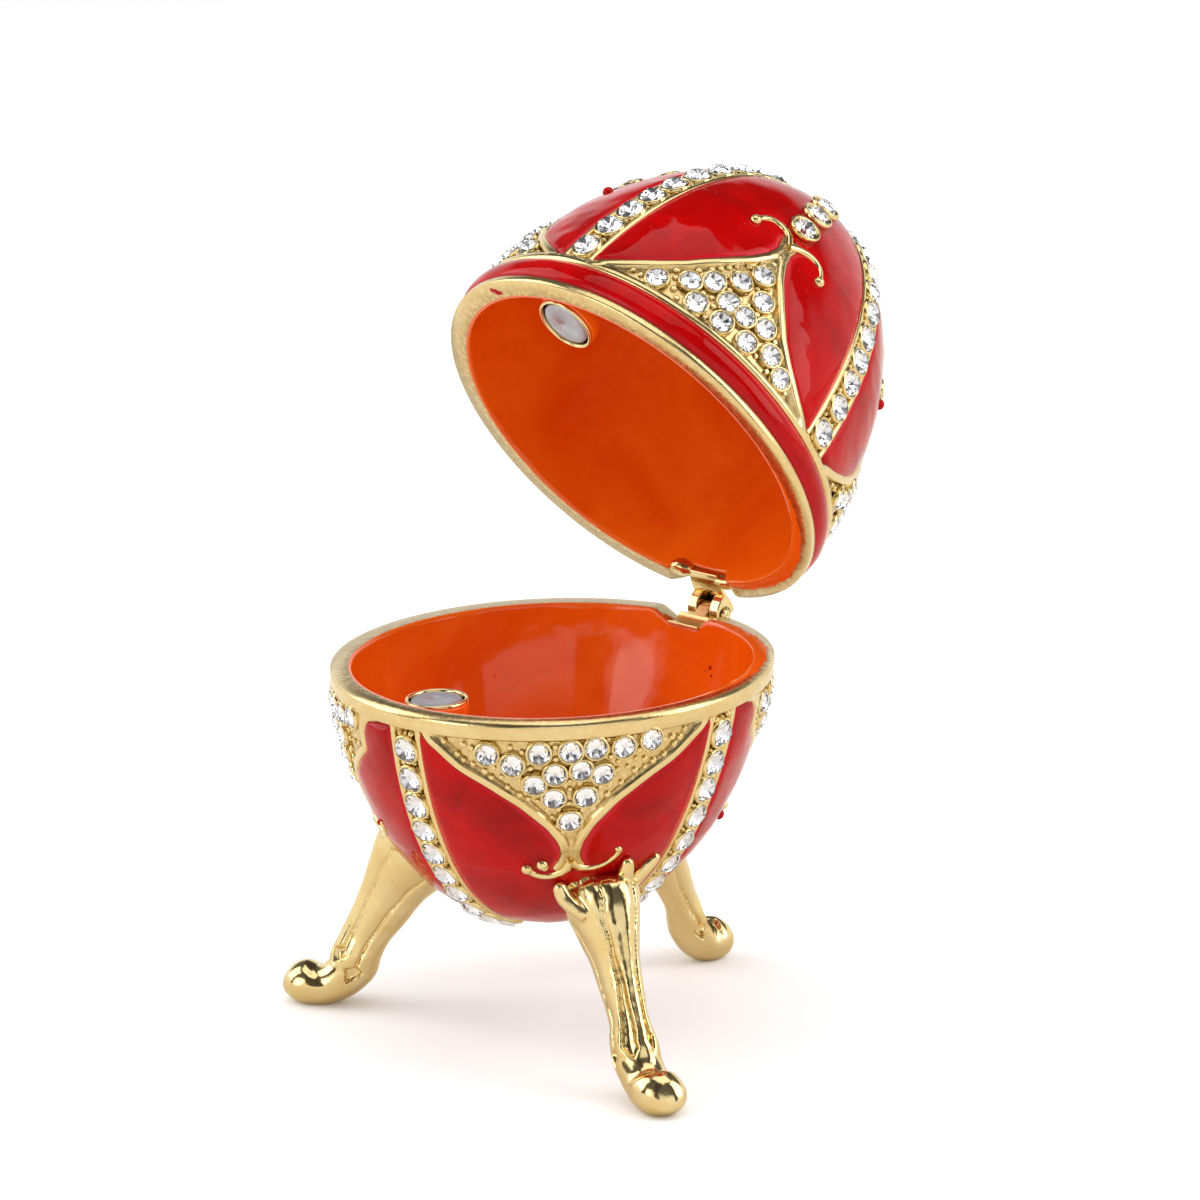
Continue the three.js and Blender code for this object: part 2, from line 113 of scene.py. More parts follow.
def walkForm(form):
    # the meridian of a form as a table of distances from the rim
    t = np.linspace(0, 1, 6001)
    height = form["length"] * (1 - (1 - t) ** 3)
    radius = form["girth"] * (1 - (height / form["length"]) ** form["p"]).clip(0) ** (1 / form["q"])
    step = np.hypot(np.diff(radius), np.diff(height))
    form["along"] = np.concatenate([[0], np.cumsum(step)])
    form["radius"], form["height"] = radius, height
    rise, run = np.gradient(height, form["along"]), -np.gradient(radius, form["along"])
    size = np.hypot(rise, run)
    form["outR"], form["outH"] = rise / size, run / size
    form["total"] = form["along"][-1]


for form in (bowlForm, lidForm):
    walkForm(form)


def radiusAt(form, along):
    return np.interp(along, form["along"], form["radius"])


def alongAt(form, height):
    return np.interp(height, form["height"], form["along"])


def alongAtRadius(form, radius):
    return np.interp(-radius, -form["radius"], form["along"])


def panels(form):
    # the four panels between the ribs: azimuth of each middle, and half its span in radians
    ribs = form["ribs"] + [form["ribs"][0] + 360]
    return [((a + b) / 2, math.radians(b - a) / 2) for a, b in zip(ribs, ribs[1:])]


def skewAt(form, along):
    return form["skew"] * smooth((np.asarray(along) - 4) / (form["crestEnd"] - 6))


def onForm(form, angle, along, over):
    # angle in radians round the axis, distance along the meridian, height over the form
    angle, along, over = np.broadcast_arrays(angle, along, over)
    radius = radiusAt(form, along) + np.interp(along, form["along"], form["outR"]) * over
    rawHeight = np.interp(along, form["along"], form["height"])
    height = rawHeight + np.interp(along, form["along"], form["outH"]) * over
    lean = math.radians(form["leanAzimuth"])
    shift = form["lean"] * rawHeight
    return np.stack([radius * np.cos(angle) + shift * math.cos(lean),
                     radius * np.sin(angle) + shift * math.sin(lean),
                     form["up"] * height], axis=-1)


def acrossForm(form, azimuth, across, along, over):
    return onForm(form, math.radians(azimuth) + np.asarray(across) / radiusAt(form, along), along, over)


def facingAt(form, azimuth, across, along):
    # which way the form faces there
    return acrossForm(form, azimuth, across, along, 1.0) - acrossForm(form, azimuth, across, along, 0.0)


def toRow(points, onLid):
    # from the egg's own millimetres to the frame's metres, with the lid swung open
    points = np.array(points, float).reshape(-1, 3)
    if onLid:
        s, c = math.sin(math.radians(egg["opening"])), math.cos(math.radians(egg["opening"]))
        y, z = points[:, 1] - egg["hinge"][1], points[:, 2] - egg["hinge"][2]
        points[:, 1] = egg["hinge"][1] + y * c + z * s
        points[:, 2] = egg["hinge"][2] - y * s + z * c
    return (points + rimCentre) / 1000


# Making meshes

def linkedObject(name, mesh):
    obj = bpy.data.objects.new(name, mesh)
    bpy.context.scene.collection.objects.link(obj)
    return obj


def turnFacesOut(mesh, merged=0.0):
    work = bmesh.new()
    work.from_mesh(mesh)
    if merged:
        bmesh.ops.remove_doubles(work, verts=work.verts, dist=merged)
    bmesh.ops.recalc_face_normals(work, faces=work.faces)
    work.to_mesh(mesh)
    work.free()


def shadeFaces(mesh, smoothFaces=True):
    mesh.polygons.foreach_set("use_smooth", [smoothFaces] * len(mesh.polygons))


def setPointValues(mesh, name, values):
    # a number for every point, read by the finishes and the trees
    layer = mesh.attributes.new(name, "FLOAT", "POINT")
    layer.data.foreach_set("value", np.asarray(values, np.float32))


def newMesh(name, points, faces, onLid):
    mesh = bpy.data.meshes.new(name)
    mesh.from_pydata(toRow(points, onLid).tolist(), [], [tuple(face) for face in faces])
    return mesh


def meshPiece(name, points, faces, onLid=False, smoothFaces=True):
    mesh = newMesh(name, points, faces, onLid)
    mesh.validate()
    turnFacesOut(mesh, 1e-8)
    shadeFaces(mesh, smoothFaces)
    return linkedObject(name, mesh)


def settleModifiers(obj):
    # the object's modifiers worked into its mesh and taken off
    bpy.context.view_layer.update()
    graph = bpy.context.evaluated_depsgraph_get()
    result = bpy.data.meshes.new_from_object(obj.evaluated_get(graph))
    obj.modifiers.clear()
    obj.data = result
    return result


def addSkin(obj, grain):
    # one closed skin over everything that the object is made of, grain in millimetres
    skin = obj.modifiers.new("skin", "REMESH")
    skin.mode, skin.voxel_size = "VOXEL", grain / 1000


def joinPieces(name, pieces):
    work = bmesh.new()
    for piece in pieces:
        work.from_mesh(piece.data)
        bpy.data.objects.remove(piece)
    mesh = bpy.data.meshes.new(name)
    work.to_mesh(mesh)
    work.free()
    return linkedObject(name, mesh)


def joinShapes(shapes):
    # several (points, faces) as one
    points, faces, offset = [], [], 0
    for shapePoints, shapeFaces in shapes:
        points.append(shapePoints)
        faces += [tuple(i + offset for i in face) for face in shapeFaces]
        offset += len(shapePoints)
    return np.concatenate(points), faces


def finishPiece(obj, body, materials, replaced=()):
    for material in materials:
        obj.data.materials.append(material)
    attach(obj, body)
    if replaced:
        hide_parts(*replaced)


def gridFaces(rows, columns, closed, start=0):
    faces = []
    across = columns if closed else columns - 1
    for r in range(rows - 1):
        for c in range(across):
            d = (c + 1) % columns
            faces.append((start + r * columns + c, start + r * columns + d,
                          start + (r + 1) * columns + d, start + (r + 1) * columns + c))
    return faces


def fanFaces(tip, first, sides, reverse=False):
    # closes a ring of points on one tip
    fan = [(tip, first + i, first + (i + 1) % sides) for i in range(sides)]
    return [(a, c, b) for a, b, c in fan] if reverse else fan


def hoopFaces(rows, sides):
    # a closed tube of rings whose last ring meets its first
    last = (rows - 1) * sides
    return gridFaces(rows, sides, True) + [(last + i, last + (i + 1) % sides, (i + 1) % sides, i)
                                           for i in range(sides)]


def ringPoints(count, radius, height, turn=0.0):
    steps = [2 * math.pi * (i + turn) / count for i in range(count)]
    return [(radius * math.cos(step), radius * math.sin(step), height) for step in steps]


def turnedPiece(profile, sides, centre, axis):
    # a closed ring or disc turned round an axis; profile holds (radius, distance along the axis), ends joined
    turn = Vector((0, 0, 1)).rotation_difference(Vector(axis).normalized()).to_matrix()
    rings = [point for radius, distance in profile for point in ringPoints(sides, radius, distance)]
    return [tuple(Vector(centre) + turn @ Vector(point)) for point in rings], hoopFaces(len(profile), sides)


def curveThrough(stops, steps):
    # a smooth path through the stops
    stops = np.array(stops, float)
    padded = np.concatenate([[2 * stops[0] - stops[1]], stops, [2 * stops[-1] - stops[-2]]])
    path = []
    for k in range(len(stops) - 1):
        p0, p1, p2, p3 = padded[k:k + 4]
        for t in np.linspace(0, 1, steps, endpoint=False):
            path.append(0.5 * (2 * p1 + (p2 - p0) * t + (2 * p0 - 5 * p1 + 4 * p2 - p3) * t * t
                               + (3 * p1 - p0 - 3 * p2 + p3) * t ** 3))
    path.append(stops[-1])
    return np.array(path)


# Nodes, as every tree in this file is built from them

def addNode(tree, kind, inputs=None, **settings):
    # a node with its settings; each input is given a value or another node's output
    node = tree.nodes.new(kind)
    for name, value in settings.items():
        setattr(node, name, value)
    for socket, value in (inputs or {}).items():
        if isinstance(value, bpy.types.NodeSocket):
            tree.links.new(value, node.inputs[socket])
        else:
            node.inputs[socket].default_value = value
    return node


def newGroup(name, inputs, outputs):
    # a shader group of plain numbers in and out
    group = bpy.data.node_groups.new(name, "ShaderNodeTree")
    for label, value in inputs.items():
        socket = group.interface.new_socket(label, in_out="INPUT", socket_type="NodeSocketFloat")
        socket.default_value = value
    for label in outputs:
        group.interface.new_socket(label, in_out="OUTPUT", socket_type="NodeSocketFloat")
    where = group.nodes.new("ShaderNodeTexCoord").outputs["Object"]
    return group, group.nodes.new("NodeGroupInput").outputs, group.nodes.new("NodeGroupOutput").inputs, where


def mathNode(tree, operation, *values):
    return addNode(tree, "ShaderNodeMath", dict(enumerate(values)), operation=operation).outputs[0]


def mixColours(tree, factor, first, second):
    colours = [(*colour, 1) if isinstance(colour, tuple) else colour for colour in (first, second)]
    inputs = {0: factor, 6: colours[0], 7: colours[1]}
    return addNode(tree, "ShaderNodeMix", inputs, data_type="RGBA").outputs[2]


def rangeNode(tree, value, low, high, outLow, outHigh):
    inputs = dict(enumerate((value, low, high, outLow, outHigh)))
    return addNode(tree, "ShaderNodeMapRange", inputs).outputs[0]


def noiseNode(tree, vector, scale, detail, rough, distortion=0.0):
    return addNode(tree, "ShaderNodeTexNoise", {
        "Vector": vector, "Scale": scale, "Detail": detail, "Roughness": rough, "Distortion": distortion,
    }).outputs["Fac"]


def cellsNode(tree, vector, scale):
    return addNode(tree, "ShaderNodeTexVoronoi", {"Vector": vector, "Scale": scale}).outputs["Distance"]


def attributeNode(tree, name):
    return addNode(tree, "ShaderNodeAttribute", attribute_name=name).outputs["Fac"]


def placeGroup(tree, group, values):
    return addNode(tree, "ShaderNodeGroup", values, node_tree=group).outputs


def bumpTo(tree, shader, height, strength, distance):
    bump = addNode(tree, "ShaderNodeBump", {"Strength": strength, "Distance": distance, "Height": height})
    tree.links.new(bump.outputs["Normal"], shader.inputs["Normal"])


# Shader groups shared by several finishes

def castGrainGroup():
    # the sandy skin of a casting: a fine height, and a tone that darkens its hollows
    group, given, out, where = newGroup("castGrain", {"Grain Size": 4200.0, "Grain": 1.0},
                                        ["Height", "Hollow"])
    fine = noiseNode(group, where, given["Grain Size"], 3, 0.6)
    cells = cellsNode(group, where, mathNode(group, "MULTIPLY", given["Grain Size"], 0.42))
    bumps = mathNode(group, "SUBTRACT", 1.0, cells)
    height = mathNode(group, "ADD", mathNode(group, "MULTIPLY", fine, 0.6),
                      mathNode(group, "MULTIPLY", bumps, 0.4))
    hollow = rangeNode(group, height, 0.42, 0.72, 1.0, 0.0)
    group.links.new(mathNode(group, "MULTIPLY", height, given["Grain"]), out["Height"])
    group.links.new(mathNode(group, "MULTIPLY", hollow, given["Grain"]), out["Hollow"])
    return group


def handlingGroup():
    # years of handling: broad cloudy variation, and fine scratches
    group, given, out, where = newGroup("handling", {"Cloud Size": 260.0, "Scratch Size": 900.0},
                                        ["Cloud", "Scratch"])
    cloud = noiseNode(group, where, given["Cloud Size"], 4, 0.55, 0.4)
    stretched = addNode(group, "ShaderNodeMapping",
                        {"Vector": where, "Rotation": (0.5, 0.9, 0.3), "Scale": (1, 0.06, 1)})
    lines = noiseNode(group, stretched.outputs["Vector"], given["Scratch Size"], 4, 0.7)
    group.links.new(rangeNode(group, cloud, 0.3, 0.7, 0.0, 1.0), out["Cloud"])
    group.links.new(rangeNode(group, lines, 0.55, 0.75, 0.0, 1.0), out["Scratch"])
    return group


def glazeGroup():
    # fired glass: soft waves, a drift of colour and rare pinholes
    group, given, out, where = newGroup("glaze", {"Wave Size": 220.0, "Pinholes": 0.6},
                                        ["Height", "Drift", "Fleck"])
    waves = noiseNode(group, where, given["Wave Size"], 2, 0.4)
    drift = noiseNode(group, where, mathNode(group, "MULTIPLY", given["Wave Size"], 0.55), 5, 0.6, 0.8)
    cells = cellsNode(group, where, mathNode(group, "MULTIPLY", given["Wave Size"], 2.6))
    hole = rangeNode(group, cells, 0.02, 0.06, 1.0, 0.0)
    hole = mathNode(group, "MULTIPLY", hole, given["Pinholes"])
    sunk = mathNode(group, "MULTIPLY", hole, 0.3)
    group.links.new(mathNode(group, "SUBTRACT", waves, sunk), out["Height"])
    group.links.new(rangeNode(group, drift, 0.32, 0.68, 0.0, 1.0), out["Drift"])
    group.links.new(hole, out["Fleck"])
    return group


castGrain, handling, glaze = castGrainGroup(), handlingGroup(), glazeGroup()


def newFinish(name, plain):
    # plain holds what is the same all over, set on the shader's own sockets
    material = bpy.data.materials.new(name)
    material.use_nodes = True
    tree = material.node_tree
    shader = tree.nodes["Principled BSDF"]
    for socket, value in plain.items():
        shader.inputs[socket].default_value = value
    return material, tree, shader


goldColours = {"bright": (0.82, 0.67, 0.35), "warm": (0.78, 0.585, 0.255), "deep": (0.36, 0.21, 0.06)}
# grainy: how much of the piece's own grain shows; skin: the least of it
golds = {
    "goldCast": {"grainy": 0.95, "skin": 0.1, "grainSize": 3600.0, "patina": 0.7, "rough": 0.15,
                 "bump": 0.00008},
    "goldPolished": {"grainy": 0.5, "skin": 0.12, "grainSize": 2600.0, "patina": 0.25, "rough": 0.1,
                     "bump": 0.00004},
    "goldSheet": {"grainy": 0.0, "skin": 0.2, "grainSize": 3000.0, "patina": 0.5, "rough": 0.24,
                  "bump": 0.00005},
    "goldSolder": {"grainy": 0.0, "skin": 0.6, "grainSize": 2600.0, "patina": 0.5, "rough": 0.12,
                   "bump": 0.00008},
}


def goldFinish(name):
    look = golds[name]
    material, tree, shader = newFinish(name, {"Metallic": 1.0})
    grain = mathNode(tree, "MULTIPLY", attributeNode(tree, "grain"), look["grainy"])
    grain = mathNode(tree, "ADD", grain, look["skin"])
    cast = placeGroup(tree, castGrain, {"Grain Size": look["grainSize"], "Grain": grain})
    hand = placeGroup(tree, handling, {"Cloud Size": 300.0, "Scratch Size": 1100.0})
    tone = mixColours(tree, hand["Cloud"], goldColours["bright"], goldColours["warm"])
    tarnish = mathNode(tree, "MULTIPLY", cast["Hollow"], look["patina"])
    tree.links.new(mixColours(tree, tarnish, tone, goldColours["deep"]), shader.inputs["Base Color"])
    rough = mathNode(tree, "MULTIPLY_ADD", hand["Cloud"], 0.06, look["rough"])
    rough = mathNode(tree, "MULTIPLY_ADD", grain, 0.12, rough)
    rough = mathNode(tree, "MULTIPLY_ADD", hand["Scratch"], 0.08, rough)
    tree.links.new(rough, shader.inputs["Roughness"])
    bumpTo(tree, shader, cast["Height"], 1.0, look["bump"])
    return material


goldCast, goldPolished, goldSheet, goldSolder = map(goldFinish, golds)

# each enamel's rim colour is painted shade, darkening the enamel on the rim's brightly lit face
enamels = {
    "redEnamel": {
        "dark": (0.25, 0.0005, 0.0008), "light": (0.43, 0.0008, 0.0012), "thin": (0.55, 0.015, 0.025),
        "fleck": (0.75, 0.25, 0.25), "rimPaintedShade": (0.2, 0, 0), "rough": 0.06, "coat": 0.0, "specular": 0.15,
        "waveSize": 240.0, "pinholes": 0.3, "bump": 0.00012,
    },
    "orangeEnamel": {
        "dark": (0.74, 0.080, 0.001), "light": (0.86, 0.145, 0.006), "thin": (0.80, 0.26, 0.04),
        "fleck": (0.5, 0.08, 0.02), "rimPaintedShade": (0.60, 0.075, 0.006), "rough": 0.08, "coat": 0.12,
        "specular": 0.34, "waveSize": 130.0, "pinholes": 0.35, "bump": 0.0006,
    },
}


def enamelFinish(name):
    # glass that is paler where it is thin, with sandy edges where it has run over the rim, and painted shade
    # that darkens it on the rim's brightly lit face
    look = enamels[name]
    material, tree, shader = newFinish(name, {
        "Roughness": look["rough"], "Coat Weight": look["coat"], "Coat Roughness": 0.04, "IOR": 1.5,
        "Specular IOR Level": look["specular"], "Metallic": 0.0,
    })
    fired = placeGroup(tree, glaze, {"Wave Size": look["waveSize"], "Pinholes": look["pinholes"]})
    rim = attributeNode(tree, "grain")
    sandy = placeGroup(tree, castGrain, {"Grain Size": 3200.0, "Grain": rim})
    body = mixColours(tree, fired["Drift"], look["dark"], look["light"])
    body = mixColours(tree, attributeNode(tree, "thin"), body, look["thin"])
    body = mixColours(tree, mathNode(tree, "MULTIPLY", fired["Fleck"], 0.6), body, look["fleck"])
    # painted shade: the enamel on the rim's face is darkened where the light falls brightly on it
    body = mixColours(tree, mathNode(tree, "MULTIPLY", rim, 0.8), body, look["rimPaintedShade"])
    body = mixColours(tree, sandy["Hollow"], body, look["dark"])
    tree.links.new(body, shader.inputs["Base Color"])
    bumpTo(tree, shader, fired["Height"], 0.5, look["bump"])
    return material


redEnamel, orangeEnamel = map(enamelFinish, enamels)


def crystalFinish():
    material, tree, shader = newFinish("crystal", {
        "Base Color": (0.97, 0.98, 1, 1), "Roughness": 0.0, "IOR": 1.58, "Transmission Weight": 1.0,
        "Metallic": 0.0,
    })
    hand = placeGroup(tree, handling, {"Cloud Size": 500.0, "Scratch Size": 1500.0})
    tree.links.new(rangeNode(tree, hand["Scratch"], 0, 1, 0.0, 0.035), shader.inputs["Roughness"])
    return material


def foilFinish():
    material, tree, shader = newFinish("foil", {"Metallic": 1.0})
    hand = placeGroup(tree, handling, {"Cloud Size": 900.0, "Scratch Size": 1500.0})
    tone = mixColours(tree, hand["Cloud"], (0.93, 0.93, 0.95), (0.7, 0.69, 0.7))
    tree.links.new(tone, shader.inputs["Base Color"])
    tree.links.new(rangeNode(tree, hand["Cloud"], 0, 1, 0.08, 0.2), shader.inputs["Roughness"])
    return material


def nickelFinish():
    material, tree, shader = newFinish("nickelMagnet", {"Metallic": 0.85})
    cast = placeGroup(tree, castGrain, {"Grain Size": 2600.0, "Grain": 1.0})
    hand = placeGroup(tree, handling, {"Cloud Size": 700.0, "Scratch Size": 1300.0})
    tone = mixColours(tree, hand["Cloud"], (0.47, 0.48, 0.52), (0.42, 0.43, 0.47))
    tone = mixColours(tree, hand["Scratch"], tone, (0.6, 0.6, 0.64))
    tree.links.new(tone, shader.inputs["Base Color"])
    tree.links.new(rangeNode(tree, hand["Cloud"], 0, 1, 0.42, 0.58), shader.inputs["Roughness"])
    bumpTo(tree, shader, cast["Height"], 0.6, 0.00008)
    return material


crystal, foil, nickel = crystalFinish(), foilFinish(), nickelFinish()
print("finishes made")


# Geometry Nodes: shapes set on points, and wires along a path

def newTree(name, inputs):
    tree = bpy.data.node_groups.new(name, "GeometryNodeTree")
    tree.interface.new_socket("Geometry", in_out="INPUT", socket_type="NodeSocketGeometry")
    for label, kind, value in inputs + [("Finish", "NodeSocketMaterial", None)]:
        socket = tree.interface.new_socket(label, in_out="INPUT", socket_type=kind)
        if value is not None:
            socket.default_value = value
    tree.interface.new_socket("Geometry", in_out="OUTPUT", socket_type="NodeSocketGeometry")
    return tree, tree.nodes.new("NodeGroupInput").outputs


def pointValue(tree, name, kind="FLOAT"):
    node = addNode(tree, "GeometryNodeInputNamedAttribute", {"Name": name}, data_type=kind)
    return node.outputs["Attribute"]


def endTree(tree, shapes, finish):
    # every tree ends in real geometry with its finish on
    real = addNode(tree, "GeometryNodeRealizeInstances", {"Geometry": shapes})
    coat = addNode(tree, "GeometryNodeSetMaterial", {"Geometry": real.outputs[0], "Material": finish})
    addNode(tree, "NodeGroupOutput", {0: coat.outputs[0]})
    return tree


def setOnPointsTree():
    # sets a shape on every point, facing the point's own direction, turned a random way round it
    tree, given = newTree("setOnPoints", [
        ("Shape", "NodeSocketObject", None), ("Size", "NodeSocketFloat", 0.001),
        ("Turn", "NodeSocketFloat", 6.28), ("Seed", "NodeSocketInt", 3),
    ])
    shape = addNode(tree, "GeometryNodeObjectInfo", {"Object": given["Shape"]})
    align = addNode(tree, "FunctionNodeAlignRotationToVector",
                    {"Vector": pointValue(tree, "facing", "FLOAT_VECTOR")}, axis="Z")
    chance = addNode(tree, "FunctionNodeRandomValue", {3: given["Turn"], "Seed": given["Seed"]},
                     data_type="FLOAT")
    spin = addNode(tree, "FunctionNodeAxisAngleToRotation", {"Axis": (0, 0, 1), "Angle": chance.outputs[1]})
    turn = addNode(tree, "FunctionNodeRotateRotation",
                   {"Rotation": align.outputs[0], "Rotate By": spin.outputs[0]}, rotation_space="LOCAL")
    place = addNode(tree, "GeometryNodeInstanceOnPoints", {
        "Points": given["Geometry"], "Instance": shape.outputs["Geometry"], "Rotation": turn.outputs[0],
        "Scale": mathNode(tree, "MULTIPLY", pointValue(tree, "size"), given["Size"]),
    })
    return endTree(tree, place.outputs[0], given["Finish"])


def wireTree():
    # a round wire along each path, its thickness taken from the path's own points
    tree, given = newTree("wireAlongPath", [
        ("Thickness", "NodeSocketFloat", 0.001), ("Sides", "NodeSocketInt", 12),
    ])
    path = addNode(tree, "GeometryNodeMeshToCurve", {"Mesh": given["Geometry"]})
    section = addNode(tree, "GeometryNodeCurvePrimitiveCircle", {"Radius": 1, "Resolution": given["Sides"]})
    wire = addNode(tree, "GeometryNodeCurveToMesh", {
        "Curve": path.outputs[0], "Profile Curve": section.outputs[0], "Fill Caps": True,
        "Scale": mathNode(tree, "MULTIPLY", pointValue(tree, "size"), given["Thickness"]),
    })
    return endTree(tree, wire.outputs[0], given["Finish"])


setOnPoints, wireAlongPath = setOnPointsTree(), wireTree()


def grow(name, tree, points, size, values, onLid, facing=None, edges=(), smoothFaces=True):
    # runs a tree over the points and keeps its result as one plain mesh
    mesh = bpy.data.meshes.new(name + "Points")
    mesh.from_pydata(toRow(points, onLid).tolist(), edges, [])
    setPointValues(mesh, "size", size)
    if facing is not None:
        tips = toRow(np.array(points) + np.array(facing), onLid) - toRow(points, onLid)
        mesh.attributes.new("facing", "FLOAT_VECTOR", "POINT").data.foreach_set(
            "vector", (tips * 1000).astype(np.float32).ravel())
    obj = linkedObject(name, mesh)
    modifier = obj.modifiers.new("grow", "NODES")
    modifier.node_group = tree
    for item in tree.interface.items_tree:
        if item.in_out == "INPUT" and item.name in values:
            modifier[item.identifier] = values[item.name]
    shadeFaces(settleModifiers(obj), smoothFaces)
    obj.data.name = name
    return obj


def scatter(name, shape, placed, finish, seed, onLid, size=0.001, smoothFaces=True):
    # placed holds (place, facing, size) for each copy of the shape
    places, facing, sizes = zip(*placed)
    values = {"Shape": shape, "Size": size, "Finish": finish, "Seed": seed}
    return grow(name, setOnPoints, places, sizes, values, onLid, facing, smoothFaces=smoothFaces)


def patternShape(name, points, faces):
    # a small shape that a tree sets many times; it isn't linked into the scene
    mesh = bpy.data.meshes.new(name)
    mesh.from_pydata(points, [], faces)
    turnFacesOut(mesh)
    return bpy.data.objects.new(name, mesh)


stoneCut = {"table": 0.56, "tableHeight": 0.44, "star": 0.8, "starHeight": 0.26, "pavilion": -0.5}


def brilliant():
    # table, stars, kites and girdle facets over a plain pointed pavilion
    points = ringPoints(8, stoneCut["table"], stoneCut["tableHeight"])
    points += ringPoints(8, stoneCut["star"], stoneCut["starHeight"], 0.5)
    points += ringPoints(16, 1.0, 0.0)
    points.append((0, 0, stoneCut["pavilion"]))
    faces = [tuple(range(8))]
    for i in range(8):
        star, girdle, nextGirdle = 8 + i, 16 + 2 * i, 16 + (2 * i + 2) % 16
        faces.append((i, (i + 1) % 8, star))
        faces.append((i, star, girdle, 8 + (i - 1) % 8))
        faces.append((star, girdle + 1, girdle))
        faces.append((star, nextGirdle, girdle + 1))
    faces += [(16 + i, 16 + (i + 1) % 16, 32) for i in range(16)]
    return patternShape("brilliant", points, faces)


def foilCup():
    # the silvered backing round the pavilion
    points = ringPoints(8, 1.0, -0.05) + ringPoints(8, 1.1, -0.05)
    points += [(0, 0, stoneCut["pavilion"] - 0.04), (0, 0, stoneCut["pavilion"] - 0.1)]
    faces = []
    for i in range(8):
        n = (i + 1) % 8
        faces += [(i, n, 16), (8 + i, n + 8, n, i), (8 + n, 8 + i, 17)]
    return patternShape("foilCup", points, faces)


def turnedPattern(name, profile, sides):
    # profile runs from the axis to the axis
    points = [(0, 0, profile[0][1])]
    for radius, height in profile[1:-1]:
        points += ringPoints(sides, radius, height)
    points.append((0, 0, profile[-1][1]))
    rings = len(profile) - 2
    faces = fanFaces(0, 1, sides, reverse=True) + gridFaces(rings, sides, True, 1)
    faces += fanFaces(len(points) - 1, 1 + (rings - 1) * sides, sides)
    return patternShape(name, points, faces)


def ringPattern(name, profile, sides):
    points = []
    for radius, height in profile:
        points += ringPoints(sides, radius, height)
    return patternShape(name, points, hoopFaces(len(profile), sides))


# (radius, height) of the small shapes, as shares of the size that each copy is given
patterns = {
    "seat": [(1.02, -0.5), (1.3, -0.5), (1.25, -0.06), (1.14, 0.05), (1.03, -0.02)],
    "bead": [(0, -0.5), (0.85, -0.5), (1, 0), (0.8, 0.5), (0.35, 0.62), (0, 0.35)],
    "grain": [(0, -0.6), (0.9, -0.3), (0.95, 0.2), (0.55, 0.72), (0, 0.9)],
    "knob": [(0, -0.9), (0.6, -0.8), (0.95, -0.3), (1, 0.1), (0.86, 0.55), (0.5, 0.86), (0, 0.98)],
    "dab": [(0, -0.3), (0.9, -0.2), (1, 0), (0.7, 0.22), (0, 0.3)],
    "colletRing": [(0.96, -0.9), (1.2, -0.9), (1.28, -0.3), (1.36, 0.02), (1.3, 0.14), (1.14, 0.12),
                   (1.02, -0.04), (0.98, -0.3)],
}
stoneShape, foilShape = brilliant(), foilCup()
seatShape = ringPattern("seat", patterns["seat"], 15)
colletShape = ringPattern("colletRing", patterns["colletRing"], 28)
beadShape = turnedPattern("bead", patterns["bead"], 9)
grainShape = turnedPattern("grain", patterns["grain"], 7)
knobShape = turnedPattern("knob", patterns["knob"], 14)
dabShape = turnedPattern("dab", patterns["dab"], 12)
print("patterns made")


# The castings

ribShape = {
    "half": 1.95, "floor": 1.22, "proud": 0.42, "sunk": -0.1,
    "narrowBelow": 2.5,  # half lanes under this narrow the rib
    # across the floor from its middle, and across the border from its inside, as shares of each
    "floorSteps": (0, 0.33, 0.66, 0.96),
    "border": [(0.0, 0.1), (0.12, 0.78), (0.3, 1.0), (0.65, 1.0), (0.88, 0.8), (1.0, 0.05)],
    "floorGrain": 0.8,
}
crestShape = {
    "border": 0.95, "proud": 0.46, "sunk": 0.02, "groove": 0.16,
    "ridge": [(0.0, 0.0), (0.06, 0.85), (0.25, 1.0), (0.8, 1.0), (0.93, 0.8)],
    "ridgeGrain": 0.6, "floorGrain": 0.45, "grooveGrain": 0.5,
    "cornerRun": 2.6, "cornerDrop": 3.2, "cornerEase": 1.6,  # rounding of the corners at the rim
}
enamelShape = {"edge": 0.33, "dome": 0.17, "bed": -0.18}
# columns of points across half a panel: the enamel's bed, and the crest's floor
columnCount = {"bed": 12, "floor": 18}


def crestHalf(form, along):
    table = np.array(form["crest"])
    return np.interp(along, table[:, 0], table[:, 1])


def crestEdge(form, along, reach):
    # the outline held within a panel's reach, its corner and the cell's top corner rounded
    fall = np.clip((along - form["mouldings"][-1][0]) / crestShape["cornerRun"], 0, 1)
    reach = reach + crestShape["cornerDrop"] * (1 - math.sqrt(1 - (1 - fall) ** 2))
    wide, ease = crestHalf(form, along), crestShape["cornerEase"]
    return float(-np.logaddexp(-ease * wide, -ease * reach) / ease) if wide > reach - 3 else float(wide)


def crestInner(form, along):
    # the inside of the crest's border, a constant width in from its edge
    table = np.array(form["crest"])
    a = np.linspace(table[0, 0], form["crestEnd"] - 0.6, 400)
    x = crestHalf(form, a)
    dx, da = np.gradient(x), np.gradient(a)
    size = np.hypot(dx, da)
    innerX, innerA = x - crestShape["border"] * da / size, a + crestShape["border"] * dx / size
    order = np.argsort(innerA)
    inner = np.interp(along, innerA[order], innerX[order])
    return np.clip(inner, 0.02, None)


